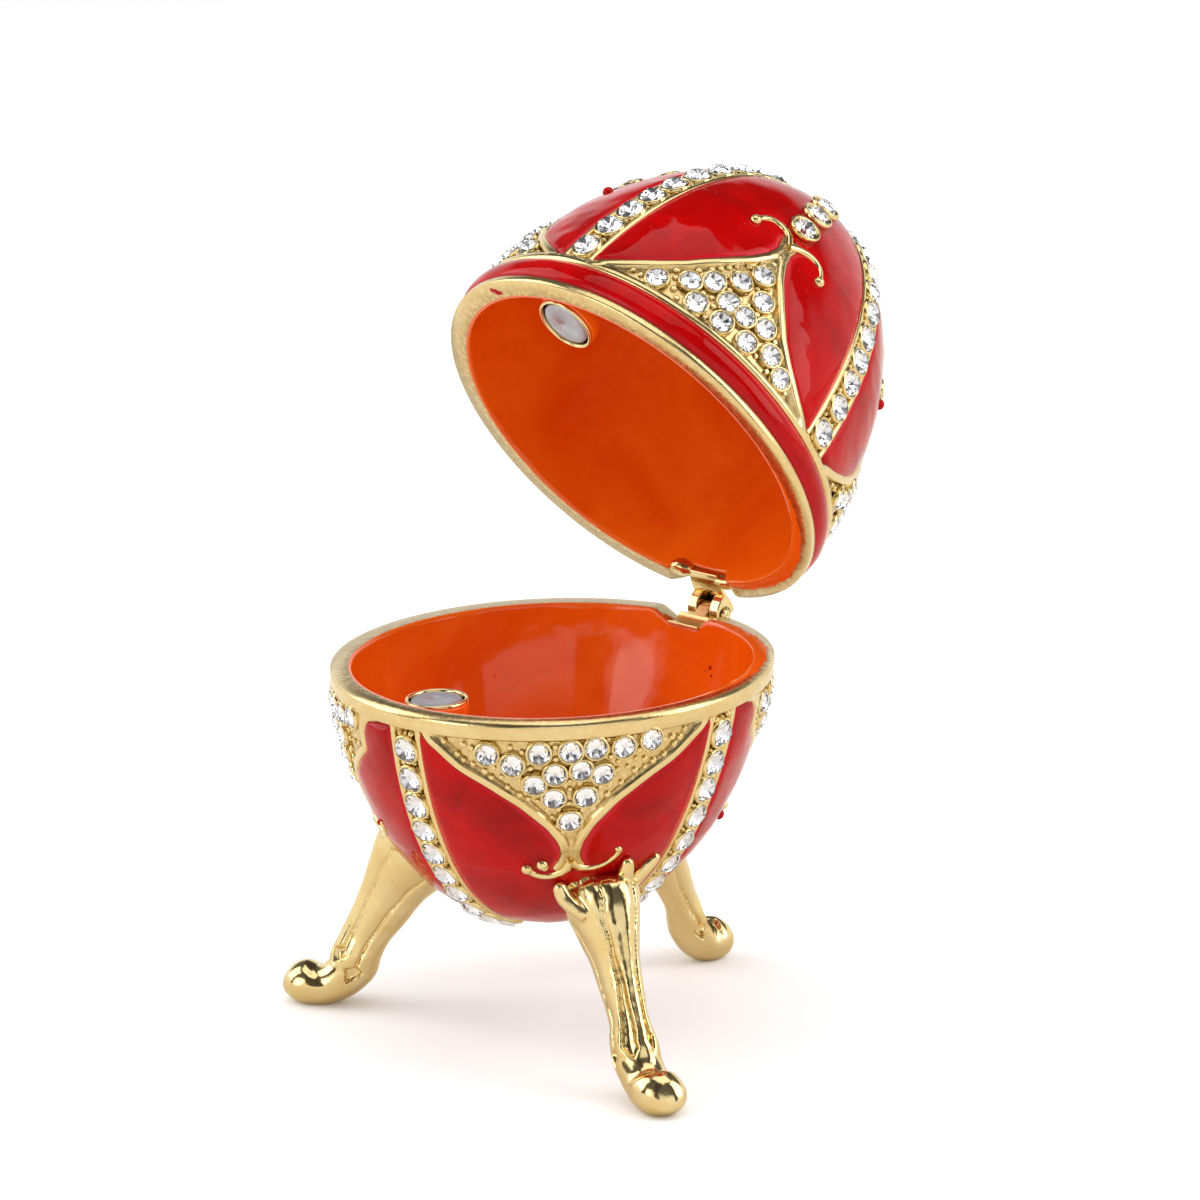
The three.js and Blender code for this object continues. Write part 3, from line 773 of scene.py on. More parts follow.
def smoothedCrest(form):
    # rounds the outline's corners by running a short average along it
    table = np.array(form["crest"])
    a = np.arange(table[0, 0], form["crestEnd"] + 0.8, 0.1)
    x = np.interp(a, table[:, 0], table[:, 1])
    keep = a < form["crestEnd"] - 0.5
    kernel = np.ones(9) / 9
    rounded = np.convolve(np.pad(x, 4, mode="edge"), kernel, "valid")
    x = np.where(keep, rounded, x)
    form["crest"] = list(zip(a, x)) + [(80, 0.05)]


for form in (bowlForm, lidForm):
    smoothedCrest(form)


def ribHalf(lane):
    # half a rib's width, less where the ribs run together at the pole
    return ribShape["half"] * min(1.0, lane / ribShape["narrowBelow"])


def reliefColumns(form, along, halfSpan, reach):
    # half a panel, from the middle of a rib to the middle of the panel:
    # distance from the panel's middle, height over the form, and how grainy the gold is
    lane = radiusAt(form, along) * halfSpan
    half, floor = ribHalf(lane), ribShape["floor"] * min(1.0, lane / ribShape["narrowBelow"])
    columns = [(lane - floor * t, ribShape["sunk"], ribShape["floorGrain"]) for t in ribShape["floorSteps"]]
    for t, h in ribShape["border"]:
        columns.append((lane - floor - (half - floor) * t, ribShape["proud"] * h, 0))
    pastBand = along > form["mouldings"][-1][0] - 0.2
    bed = enamelShape["bed"] if pastBand and lane > 2.6 else ribShape["sunk"]
    edge = max(min(crestEdge(form, along, reach), lane - half - 0.12), 0.03)
    inner = max(min(crestInner(form, along), reach - crestShape["border"], edge - 0.02), 0.01)
    for t in np.linspace(0.02, 0.98, columnCount["bed"]):
        columns.append((lane - half + (edge - lane + half) * t, bed, 0))
    onCrest = along < form["crestEnd"]
    neck = smooth((inner - 0.05) / 0.3)
    for t, h in crestShape["ridge"]:
        over = bed + (crestShape["proud"] - bed) * h if onCrest else bed
        columns.append((edge + (inner - edge) * t, over, crestShape["ridgeGrain"] * (1 - neck)))
    groove = crestShape["groove"] * neck * (1.0 if onCrest else 0.0)
    for k, t in enumerate(np.linspace(0, 1, columnCount["floor"])):
        inGroove = k in (0, 1)
        sunk = crestShape["sunk"] * neck + crestShape["proud"] * (1 - neck) - groove * inGroove
        grain = crestShape["floorGrain"] + crestShape["grooveGrain"] * inGroove
        columns.append((inner * (1 - t), sunk if onCrest else bed, grain))
    return lane - half, columns


def leaning(form, across, along, free):
    # leans the middle of a panel sideways and leaves its ribs where they are
    return across + skewAt(form, along) * np.clip(1 - np.abs(across) / max(free, 0.1), 0, 1)


def castingRows(form):
    # distances from the rim of a casting's rings: on the band, past the crests, and round the pole
    table = form["mouldings"]
    rows = []
    for (a, _), (b, _) in zip(table, table[1:]):
        count = max(1, int((b - a) / 0.4))
        rows += [a + (b - a) * i / count for i in range(count)]
    poleStart = alongAtRadius(form, form["poleRadius"])
    fine = np.arange(table[-1][0], form["crestEnd"] + 0.6, 0.17)
    coarse = np.linspace(form["crestEnd"] + 0.9, poleStart, 26)
    last = np.linspace(poleStart, form["total"] - 0.25, 7)[1:]
    return np.concatenate([rows, fine, coarse, last])


# how much of the rim's face the lining's enamel covers: least, most, azimuth of the most, and how far round
spill = {"least": 0.1, "most": 0.62, "azimuth": 48, "round": 62, "ragged": [(0.07, 31, 0), (0.06, 67, 1)]}
notch = {
    "reach": 3.4,  # how far from the rim the wall is drawn down with it
    # left end, run of its slope, right end, run of its slope, depth
    "bowl": (-5.6, 3.2, 3.0, 2.2, 1.3), "lid": (-5.2, 1.3, 3.3, 1.2, 1.3),
}
liningShape = {
    "lip": [(0, 0.0), (0.06, -0.08), (0.5, -0.1)],  # distance from the rim's start, and height over the form
    "over": -0.1, "from": 1.2, "rows": 40,
    "wavyRow": 2, "waves": [(0.1, 9, 1), (0.07, 23, 0)],
}


def rimDrop(form, angle):
    # how far the rim is cut down for the hinge
    x = form["girth"] * np.cos(angle)
    left, leftRun, right, rightRun, depth = notch["bowl" if form["up"] < 0 else "lid"]
    inside = smooth((x - left) / leftRun) * smooth((right - x) / rightRun)
    return depth * inside * (np.sin(angle) > 0)


def drawnDown(form, along, drop):
    # distances from the rim, moved down with the notch
    return along + drop * np.clip(1 - (along - form["rimStart"]) / notch["reach"], 0, 1)


def outsideRing(form, along):
    # one ring round the outside: angles, heights over the form and grain
    angle, over, sandy = [], [], []
    for (middle, halfSpan), reach in zip(panels(form), form["crestReach"]):
        free, half = reliefColumns(form, along, halfSpan, reach)
        half = np.array(half)
        both = np.concatenate([half * (-1, 1, 1), half[::-1][1:-1]])
        angle.append(math.radians(middle) + leaning(form, both[:, 0], along, free) / radiusAt(form, along))
        over.append(both[:, 1])
        sandy.append(both[:, 2])
    angle, over, sandy = map(np.concatenate, (angle, over, sandy))
    mouldAlong, mouldOver = np.array(form["mouldings"]).T
    band = np.interp(along, mouldAlong, mouldOver, right=-1)
    over = np.maximum(over, band) if along > mouldAlong[-1] - 0.5 else np.full_like(over, band)
    onBand = (along <= mouldAlong[-1]) & (over <= band + 1e-6)
    return angle, over, np.where(onBand, 0.12, sandy)


def liningRings(form, lining, angles, drop):
    # the rings of the lining from the rim inwards
    rows = [(form["rimStart"] + along, over) for along, over in liningShape["lip"]]
    deep = np.linspace(liningShape["from"], lining["total"] - 0.2, liningShape["rows"])
    rows += [(along, liningShape["over"]) for along in deep]
    rings = []
    for k, (along, over) in enumerate(rows):
        shifted = drawnDown(form, along, drop)
        if k == liningShape["wavyRow"]:
            shifted = shifted + wavyRing(angles, liningShape["waves"])
        rings.append(onForm(lining, angles, shifted, over))
    return rings


def spilledShare(angles):
    # how far over the rim's face the lining's enamel has run, all the way round
    turned = np.abs(np.angle(np.exp(1j * (angles - math.radians(spill["azimuth"])))))
    away = turned / math.radians(spill["round"])
    covered = spill["least"] + (spill["most"] - spill["least"]) * smooth(1 - away)
    return (covered * wavyRing(angles, spill["ragged"], 1))[:, None]


def casting(name, form, onLid):
    # rings from the middle of the lining out over the rim and on to the outside's pole
    rows = castingRows(form)
    outside = [outsideRing(form, along) for along in rows]
    grid = [onForm(form, angle, drawnDown(form, along, rimDrop(form, angle)), over)
            for along, (angle, over, _) in zip(rows, outside)]
    angles = outside[0][0]
    columns = len(angles)
    lining = {**form, "girth": form["girth"] - egg["wall"], "length": form["length"] - egg["wall"]}
    walkForm(lining)
    drop = rimDrop(form, angles)
    inside = liningRings(form, lining, angles, drop)
    spilled = len(inside)  # the ring where the enamel ends on the rim's face
    covered = spilledShare(angles)
    edge = inside[0] * (1 - covered) + grid[0] * covered
    grid = inside[::-1] + [edge] + grid
    plain = np.zeros(columns)
    grain = [plain] * (spilled - 1) + [plain + 0.5, plain + 1.0] + [sandy for _, _, sandy in outside]
    for ring in (spilled - 1, spilled, spilled + 1):
        grid[ring][:, 2] = form["up"] * (form["rimStart"] + drop)  # the rim's face stays flat
    inPole = onForm(lining, 0.0, lining["total"], liningShape["over"])
    outPole = onForm(form, 0.0, form["total"], 0.5)
    points = np.concatenate(grid + [[inPole], [outPole]])
    faces = gridFaces(len(grid), columns, True)
    onGrid = len(faces)
    faces += fanFaces(len(points) - 2, 0, columns, reverse=True)
    faces += fanFaces(len(points) - 1, (len(grid) - 1) * columns, columns)
    mesh = newMesh(name, points, faces, onLid)
    setPointValues(mesh, "grain", np.concatenate(grain + [[0.3, 0.3]]))
    ringIndex = np.repeat(np.arange(len(grid)), columns)
    thinness = np.interp(ringIndex, [spilled - 3, spilled - 1, spilled], [0, 0.45, 0], right=0)
    setPointValues(mesh, "thin", np.concatenate([thinness, [0, 0]]))
    enamelled = np.zeros(len(faces), np.int32)
    enamelled[: spilled * columns] = 1
    enamelled[onGrid: onGrid + columns] = 1
    mesh.polygons.foreach_set("material_index", enamelled)
    shadeFaces(mesh)
    turnFacesOut(mesh)
    return linkedObject(name, mesh)


for key, form, onLid, body in halves:
    piece = casting(key + "Casting", form, onLid)
    finishPiece(piece, body, [goldCast, orangeEnamel], [key])
    print(key, "casting made", len(piece.data.polygons))


# The red fields

fieldShape = {
    "columns": 17, "hidden": 11,  # across each side, and over or under the crest between the sides
    "rowStep": 0.3, "farRows": 24,
    "middle": 0.12,  # past the crest the two sides meet this near to the panel's middle
    "under": 0.3, "underOver": -0.3,  # how far the enamel runs under the crest, and how deep
    "thinWithin": 0.15, "thick": 0.5,
    "waves": (0.16, 8.0), "ripples": (0.02, 2.4),  # height and length
}
collarBand = {
    # (distance from the rim, height over the form, how thin)
    "profile": [(1.22, 0.1, 0.9), (1.24, 0.4, 0.7), (1.42, 0.68, 0.3), (1.9, 0.92, 0), (2.55, 1.0, 0),
                (3.2, 0.9, 0), (3.7, 0.66, 0.3), (3.92, 0.38, 0.7), (3.94, 0.1, 0.9)],
    "back": -0.2, "sides": 180, "waves": (0.05, 8.0),
}


def fieldRow(form, azimuth, halfSpan, reach, along, start, end):
    # one row across a field: its points, and how near each is to an edge
    lane = radiusAt(form, along) * halfSpan
    half = ribHalf(lane)
    outer = lane - half + 0.06
    edge = max(min(crestEdge(form, along, reach), outer - 0.15), 0.04)
    pastCrest = along > form["crestEnd"]
    t = np.linspace(0, 0.5 if pastCrest else 1, fieldShape["columns"])
    side = outer + (fieldShape["middle"] - outer) * t * 2 if pastCrest else outer + (edge - outer) * t
    ends = smooth((along - start) / 0.8) * smooth((end - along) / 0.9)
    bulge = np.sqrt(np.clip(np.sin(np.pi * t), 0, 1))
    over = enamelShape["edge"] * ends + enamelShape["dome"] * bulge * ends
    over = np.where(ends < 0.02, -0.05, over)
    hiddenHalf = 0.1 if pastCrest else max(edge - fieldShape["under"], edge * 0.5)
    hidden = np.full(fieldShape["hidden"], over[-1] if pastCrest else fieldShape["underOver"])
    across = np.concatenate([-side, np.linspace(-1, 1, fieldShape["hidden"]) * hiddenHalf, side[::-1]])
    height = np.concatenate([over, hidden, over[::-1]])
    gap = np.abs(outer - np.abs(across))
    if not pastCrest:
        gap = np.minimum(gap, np.abs(np.abs(across) - edge))
    gap = np.minimum(gap, min(along - start, end - along))
    row = acrossForm(form, azimuth, leaning(form, across, along, lane - half), along, height)
    return row, np.exp(-gap / fieldShape["thinWithin"])


def slabFaces(count, columns):
    # a sheet of rows, its back, and the four edges between them
    n = count * columns
    faces = gridFaces(count, columns, False)
    faces += [tuple(reversed(face)) for face in gridFaces(count, columns, False, n)]
    sides = [range(0, n, columns), range(columns - 1, n, columns), range(columns), range(n - columns, n)]
    for side in map(list, sides):
        faces += [(a, b, b + n, a + n) for a, b in zip(side, side[1:])]
    return faces


def enamelField(form, azimuth, halfSpan, reach, seed):
    start = form["mouldings"][-1][0] - 0.05
    end = alongAtRadius(form, form["poleRadius"] + 0.25)
    near = np.arange(start, form["crestEnd"] + 0.8, fieldShape["rowStep"])
    far = np.linspace(form["crestEnd"] + 1.1, end, fieldShape["farRows"])
    rows = [fieldRow(form, azimuth, halfSpan, reach, along, start, end)
            for along in np.concatenate([near, far])]
    top, thin = np.array([row for row, _ in rows]), np.array([edges for _, edges in rows]).ravel()
    flat = top.reshape(-1, 3)
    outward = flat / np.linalg.norm(flat, axis=1)[:, None]
    for (height, wavelength), offset in ((fieldShape["waves"], 0), (fieldShape["ripples"], 5)):
        flat = flat + outward * (height * (1 - thin) * ripple(flat, wavelength, seed + offset))[:, None]
    points = np.concatenate([flat, flat - outward * fieldShape["thick"]])
    return points, slabFaces(*top.shape[:2]), np.concatenate([thin, np.ones(len(flat))])


def enamelBand(form):
    # the red band between the collar's two gold rings
    sides, back = collarBand["sides"], collarBand["back"]
    angles = np.linspace(0, 2 * math.pi, sides, endpoint=False)
    drop = rimDrop(form, angles)
    rings = []
    for along, over, _ in collarBand["profile"]:
        shifted = along + drop * max(0.0, 1 - (along - form["rimStart"]) / notch["reach"])
        rings.append(onForm(form, angles, shifted, over))
    rings.append(onForm(form, angles, 3.8, back))
    rings.append(onForm(form, angles, 1.4 + drop * 0.65, back))
    flat = np.concatenate(rings)
    outward = flat * np.array([1, 1, 0.0])
    outward /= np.linalg.norm(outward, axis=1)[:, None]
    height, wavelength = collarBand["waves"]
    flat = flat + outward * (height * ripple(flat, wavelength, 71))[:, None]
    thin = [edge for _, _, edge in collarBand["profile"]] + [1, 1]
    return flat, hoopFaces(len(rings), sides), np.repeat(thin, sides)


def enamelPiece(name, form, onLid):
    fields = [enamelField(form, azimuth, halfSpan, form["crestReach"][k], 11 + k + 20 * onLid)
              for k, (azimuth, halfSpan) in enumerate(panels(form))]
    if onLid:
        fields.append(enamelBand(form))
    points, faces = joinShapes([(shape, shapeFaces) for shape, shapeFaces, _ in fields])
    mesh = newMesh(name, points, faces, onLid)
    setPointValues(mesh, "thin", np.concatenate([thin for _, _, thin in fields]))
    shadeFaces(mesh)
    turnFacesOut(mesh)
    return linkedObject(name, mesh)


for key, form, onLid, body in halves:
    finishPiece(enamelPiece(key + "Enamel", form, onLid), body, [redEnamel])
print("enamel made")


# Stones: distance across from the panel's middle line and depth from the rim

ribStones = {
    "size": 1.27, "seat": 0.56,
    "bowl": [3.9, 7.1, 10.1, 13.2, 16.2, 19.2, 22.2, 25.2, 28.2, 31.2],
    "lid": [6.7, 10.2, 13.4, 16.6, 19.8, 23.2, 26.5, 29.8, 33.0, 36.2],
    "poleGap": 4.2,  # no stone is set this near to the pole
    "backLeg": (96, 15, 15),  # azimuth of the leg that covers a rib, how near, and from which depth
    "loose": 0.045, "sizes": (0.97, 1.03),  # how askew and how unequal the stones are
}
crestStones = {
    "size": 1.06, "seat": 0.56, "loose": 0.04, "sizes": (0.97, 1.02),
    "bowl": [(-7.9, 3.2), (-2.9, 3.0), (0.1, 2.9), (2.5, 2.7), (5.2, 2.9), (8.0, 2.5), (-5.4, 4.2),
             (-1.3, 5.2), (1.2, 4.9), (3.2, 5.5), (-3.2, 6.3), (-1.3, 7.8), (1.7, 7.8), (0.4, 10.4)],
    "lid": [(-7.1, 6.1), (-2.5, 6.0), (0.5, 6.0), (3.3, 6.1), (8.2, 6.0), (-4.4, 7.8), (-0.3, 8.3),
            (1.8, 8.2), (6.0, 7.0), (-2.5, 9.3), (4.0, 8.8), (-0.6, 11.3), (2.3, 11.0), (0.7, 13.6)],
}
collets = {
    "size": 1.22, "ring": 1.72, "poleSize": 1.35, "poleRing": 2.0,
    "along": [23.2, 27.3, 31.0], "seat": 0.95,
}


def colletStone(form, azimuth, along, size):
    across = form["skew"]
    return (acrossForm(form, azimuth, across, along, collets["seat"]),
            facingAt(form, azimuth, across, along), size)


def poleStone(form, size):
    return onForm(form, 0.0, form["total"], collets["seat"]), np.array([0, 0, 1.0]), size


def looseStone(form, azimuth, across, along, facedAcross, look, rng):
    # one stone, a little askew
    place = acrossForm(form, azimuth, across, along, look["seat"])
    facing = facingAt(form, azimuth, facedAcross, along) + rng.normal(0, look["loose"], 3)
    return place, facing, look["size"] * rng.uniform(*look["sizes"])


def placeStones(form, key):
    # all of a half's stones, and where the crest stones sit on their panels
    rng = np.random.default_rng(21 if key == "bowl" else 22)
    stones, crestPlaces = [], []
    legAzimuth, legNear, legFrom = ribStones["backLeg"]
    for azimuth in form["ribs"]:
        for along in ribStones[key]:
            underLeg = key == "bowl" and abs(azimuth - legAzimuth) < legNear and along > legFrom
            if underLeg or along > form["total"] - ribStones["poleGap"]:
                continue
            along, across = along + rng.normal(0, 0.05), rng.normal(0, 0.05)
            stones.append(looseStone(form, azimuth, across, along, 0, ribStones, rng))
    for k, (azimuth, _) in enumerate(panels(form)):
        for across, height in crestStones[key]:
            across, along = across + rng.normal(0, 0.05), float(alongAt(form, height))
            stones.append(looseStone(form, azimuth, across, along, across, crestStones, rng))
            crestPlaces.append((k, across, along))
        if key == "lid":
            stones += [colletStone(form, azimuth, along, collets["size"]) for along in collets["along"]]
    if key == "lid":
        stones.append(poleStone(form, collets["poleSize"]))
    return stones, crestPlaces


beads = {
    "tries": 1500, "size": 0.34, "apart": 0.86, "fromStones": 0.42, "fromRidge": 0.4, "over": 0.06,
    "fromTop": 0.35, "fromNeck": 4.2,
}
claws = {"perStone": 3, "out": 1.12, "over": 0.46, "size": 0.17}
ribGrains = {
    "over": 0.12, "before": 3.2,  # how far before the first stone of a rib its grains begin
    # across, along and size of the grains between two stones
    "spots": [(-0.75, 0.1, 0.3), (0.72, -0.1, 0.32), (0.0, 0.05, 0.22), (-0.95, -0.75, 0.2), (0.95, 0.7, 0.2),
              (0.98, -0.72, 0.18), (-0.98, 0.78, 0.18)],
}


def crestBeads(form, azimuth, reach, stones, rng):
    # beads wherever a crest's floor has room between its stones
    top, placed = form["mouldings"][-1][0], []
    taken = [(x, a, crestStones["size"] + beads["fromStones"]) for x, a in stones]
    for _ in range(beads["tries"]):
        a = rng.uniform(top + beads["fromTop"], form["crestEnd"] - beads["fromNeck"])
        inner = min(float(crestInner(form, a)), reach - crestShape["border"]) - beads["fromRidge"]
        if inner < 0.2:
            continue
        x = rng.uniform(-inner, inner)
        if all(math.hypot(x - p, a - q) > r for p, q, r in taken):
            taken.append((x, a, beads["apart"]))
            placed.append((acrossForm(form, azimuth, x, a, crestShape["sunk"] + beads["over"]),
                           facingAt(form, azimuth, x, a), beads["size"] * rng.uniform(0.8, 1.15)))
    return placed


def stoneClaws(form, azimuth, stones, rng):
    # tiny claws that hold each stone
    placed = []
    for x, a in stones:
        first = rng.uniform(0, 6.28)
        for n in range(claws["perStone"]):
            turn = first + n * math.pi / 1.5 + rng.normal(0, 0.25)
            cx, ca = x + claws["out"] * math.cos(turn), a + claws["out"] * math.sin(turn)
            placed.append((acrossForm(form, azimuth, cx, ca, claws["over"]), facingAt(form, azimuth, cx, ca),
                           claws["size"] * rng.uniform(0.85, 1.2)))
    return placed


def placeBeads(form, key, crestPlaces):
    # burred beads between the crest stones, and grains between the rib stones
    rng = np.random.default_rng(31 if key == "bowl" else 32)
    beadPlaces, grainPlaces = [], []
    for k, (azimuth, _) in enumerate(panels(form)):
        stones = [(x, a) for panel, x, a in crestPlaces if panel == k]
        beadPlaces += crestBeads(form, azimuth, form["crestReach"][k], stones, rng)
        grainPlaces += stoneClaws(form, azimuth, stones, rng)
    rows = ribStones[key]
    for azimuth in form["ribs"]:
        for a, b in zip([rows[0] - ribGrains["before"]] + rows, rows):
            if b > form["total"] - ribStones["poleGap"]:
                continue
            for dx, da, size in ribGrains["spots"]:
                x, along = dx + rng.normal(0, 0.06), (a + b) / 2 + da + rng.normal(0, 0.08)
                if along < form["mouldings"][-1][0] + 0.15:
                    continue
                grainPlaces.append((acrossForm(form, azimuth, x, along, ribGrains["over"]),
                                    facingAt(form, azimuth, x, along), size * rng.uniform(0.85, 1.2)))
    return beadPlaces, grainPlaces


for key, form, onLid, body in halves:
    stonePlaces, crestPlaces = placeStones(form, key)
    beadPlaces, grainPlaces = placeBeads(form, key, crestPlaces)
    # the stones, their foils and their seats share a seed, so that they turn alike
    for name, shape, placed, finish, seed, slot in (
        ("Stones", stoneShape, stonePlaces, crystal, 5, "crystal"),
        ("Foils", foilShape, stonePlaces, foil, 5, None),
        ("Beads", beadShape, beadPlaces, goldCast, 7, "gold_plate"),
        ("Grains", grainShape, grainPlaces, goldCast, 9, "gold_plate"),
        ("Seats", seatShape, stonePlaces, goldPolished, 5, "gold_plate"),
    ):
        piece = scatter(key + name, shape, placed, finish, seed, onLid, smoothFaces=slot == "gold_plate")
        finishPiece(piece, body, [])
print("stones and beads set")


# The collets round the lid's upper stones, and round the stone on its pole
ringGirth = max(radius for radius, _ in patterns["colletRing"])
colletPlaces = [colletStone(lidForm, azimuth, along, collets["ring"] / ringGirth)
                for azimuth, _ in panels(lidForm) for along in collets["along"]]
colletPlaces.append(poleStone(lidForm, collets["poleRing"] / ringGirth))
finishPiece(scatter("lidCollets", colletShape, colletPlaces, goldPolished, 4, True), "lid", [])

# The arms under each crest: (across from the neck, distance along, thickness)
arms = {
    "lift": 0.36, "knobLift": 0.5, "knobSize": 0.00082,
    "bowl": {
        "left": [(0, 15.9, 0.5), (-0.5, 17.0, 0.5), (-1.5, 17.75, 0.42), (-2.6, 17.9, 0.36),
                 (-3.5, 17.5, 0.36), (-4.05, 16.8, 0.4)],
        "right": [(0, 15.9, 0.5), (0.7, 16.7, 0.42), (1.8, 17.1, 0.32), (3.0, 16.9, 0.3), (4.1, 16.1, 0.3),
                  (4.7, 15.1, 0.34), (4.4, 14.7, 0.36)],
        "knobs": [(-4.1, 16.7, 0.72), (-2.7, 16.1, 0.72), (-2.45, 16.5, 0.5), (4.5, 14.8, 0.42)],
        # (panel, knob) painted over with the field's red
        "painted": [(0, 0), (0, 3), (2, 0), (2, 3)],
    },
    "lid": {
        "left": [(0, 19.5, 0.5), (-0.7, 20.9, 0.42), (-1.7, 21.6, 0.36), (-2.9, 21.6, 0.34),
                 (-3.8, 20.9, 0.34), (-4.1, 20.0, 0.34)],
        "right": [(0, 19.5, 0.5), (1.0, 20.3, 0.42), (2.3, 20.7, 0.36), (3.4, 20.4, 0.34), (4.1, 19.6, 0.32),
                  (4.35, 18.7, 0.32)],
        "knobs": [(-4.15, 19.8, 0.72), (4.35, 18.5, 0.72)],
        "painted": [(0, 0), (2, 0), (2, 1)],
    },
}


def crestArms(key, form, onLid):
    # two wires for each crest, as one piece
    points, edges, thick = [], [], []
    for azimuth, _ in panels(form):
        for side in ("left", "right"):
            first = len(points)
            for across, along, thickness in curveThrough(arms[key][side], 6):
                points.append(acrossForm(form, azimuth, across + form["skew"], along, arms["lift"]))
                thick.append(thickness)
            edges += [(i, i + 1) for i in range(first, len(points) - 1)]
    return grow(key + "Arms", wireAlongPath, points, thick,
                {"Thickness": 0.001, "Sides": 12, "Finish": goldPolished}, onLid, edges=edges)


def armKnobs(key, form, painted):
    # the ends of the arms, either the bare ones or the painted ones
    placed = []
    for k, (azimuth, _) in enumerate(panels(form)):
        for n, (across, along, size) in enumerate(arms[key]["knobs"]):
            if ((k, n) in arms[key]["painted"]) == painted:
                x = across + form["skew"]
                placed.append((acrossForm(form, azimuth, x, along, arms["knobLift"]),
                               facingAt(form, azimuth, x, along), size))
    return placed


for key, form, onLid, body in halves:
    finishPiece(crestArms(key, form, onLid), body, [])
    for name, painted, finish, slot in (("Knobs", False, goldPolished, "gold_plate"),
                                        ("PaintedKnobs", True, redEnamel, "red_enamel")):
        placed = armKnobs(key, form, painted)
        knobs = scatter(key + name, knobShape, placed, finish, 2, onLid, arms["knobSize"])
        finishPiece(knobs, body, [])

# stray dabs of the field's red: azimuth, distance from the rim and size on the bowl's lining, and
# azimuth, distance from the axis and size on the lid's cut face
dabs = {
    "bowl": [(78, 5.0, 0.26), (76.5, 5.8, 0.15), (80, 5.5, 0.1)],
    "lid": [(250, 20.6, 0.42), (248.8, 20.9, 0.34), (251.4, 20.4, 0.28)],
    "over": 0.08,
}
dabPlaces = {
    "bowl": [(onForm(bowlForm, math.radians(azimuth), along, -egg["wall"] - dabs["over"]),
              -facingAt(bowlForm, azimuth, 0, along), size) for azimuth, along, size in dabs["bowl"]],
    "lid": [((out * math.cos(math.radians(azimuth)), out * math.sin(math.radians(azimuth)), egg["rimGap"]),
             (0, 0, -1), size) for azimuth, out, size in dabs["lid"]],
}
for key, _, onLid, body in halves:
    finishPiece(scatter(key + "Dabs", dabShape, dabPlaces[key], redEnamel, 8, onLid), body, [])
print("arms made")


# The legs

legShape = {
    "stand": 0.5,  # how far a shoulder is sunk into the bowl's wall
    "soleReach": 26.4, "shoulderReach": 15,
    # creases: angle round the leg from its front at the shoulder, the same at the ankle, where it ends
    # between shoulder and toe, half its width there, and half the width of the pit that ends it
    "back": {"azimuth": 96, "reach": 23, "toeTurn": -7, "slide": 0.0, "seed": 51,
             "creases": [(-118, -104, 0.64, 0.14, 0.75), (-42, -46, 0.59, 0.14, 0.75),
                         (42, 46, 0.59, 0.14, 0.75), (118, 104, 0.64, 0.14, 0.75)]},
    "left": {"azimuth": 208, "reach": 26.6, "toeTurn": 0, "slide": 0.0, "seed": 52,
             "creases": [(-128, -108, 0.65, 0.14, 1.0), (-60, -52, 0.585, 0.14, 1.0),
                         (60, 52, 0.585, 0.14, 1.0), (128, 108, 0.65, 0.14, 1.0)]},
    "right": {"azimuth": 330, "reach": 25.8, "toeTurn": 12, "slide": 0.5, "seed": 53,
              "creases": [(-105, -98, 0.64, 0.14, 0.8), (-26, -36, 0.6, 0.78, 0.85),
                          (40, 26, 0.575, 0.26, 0.5), (100, 92, 0.65, 0.14, 0.8)]},
    # outer edge and inner edge as (distance from the axis, height), and half the width
    "outline": [
        (15.0, 21.0, 9.2, 17.4, 3.2), (17.3, 20.8, 9.8, 16.4, 3.6), (18.6, 19.4, 10.8, 14.6, 3.4),
        (19.5, 17.2, 12.9, 13.3, 2.75), (20.6, 13.9, 14.8, 11.7, 2.05), (21.8, 11.0, 16.6, 9.4, 1.8),
        (23.0, 8.5, 18.6, 6.9, 1.65), (24.25, 6.1, 19.5, 5.2, 2.05), (24.95, 4.65, 20.1, 3.2, 2.2),
        (26.1, 3.95, 22.4, 1.0, 2.2), (27.4, 4.4, 25.2, -0.2, 2.45), (28.7, 3.9, 27.6, -0.2, 2.25),
        (29.55, 2.8, 29.2, 0.6, 1.4), (29.85, 1.9, 29.8, 1.3, 0.5),
    ],
    "sides": 120, "ankle": 0.57, "rodBulge": 0.3, "rodRound": 1.3, "grain": 0.12,
    "crease": {"halfAtTop": 0.1, "depth": 0.34, "deeper": 0.3, "edge": 0.14, "pitRun": 0.085},
    "wander": [(2.5, 23), (1.2, 57)],  # how many degrees a crease wanders, and how often
    "solderReach": (1.5, 1.3),  # how far over the bowl the solder's rough skin goes, and how softly it ends
    # height and length of the waves left by finishing, and of the solder's own roughness
    "waves": [(0.05, 5.5), (0.02, 1.5)], "solderWaves": (0.1, 0.9),
}
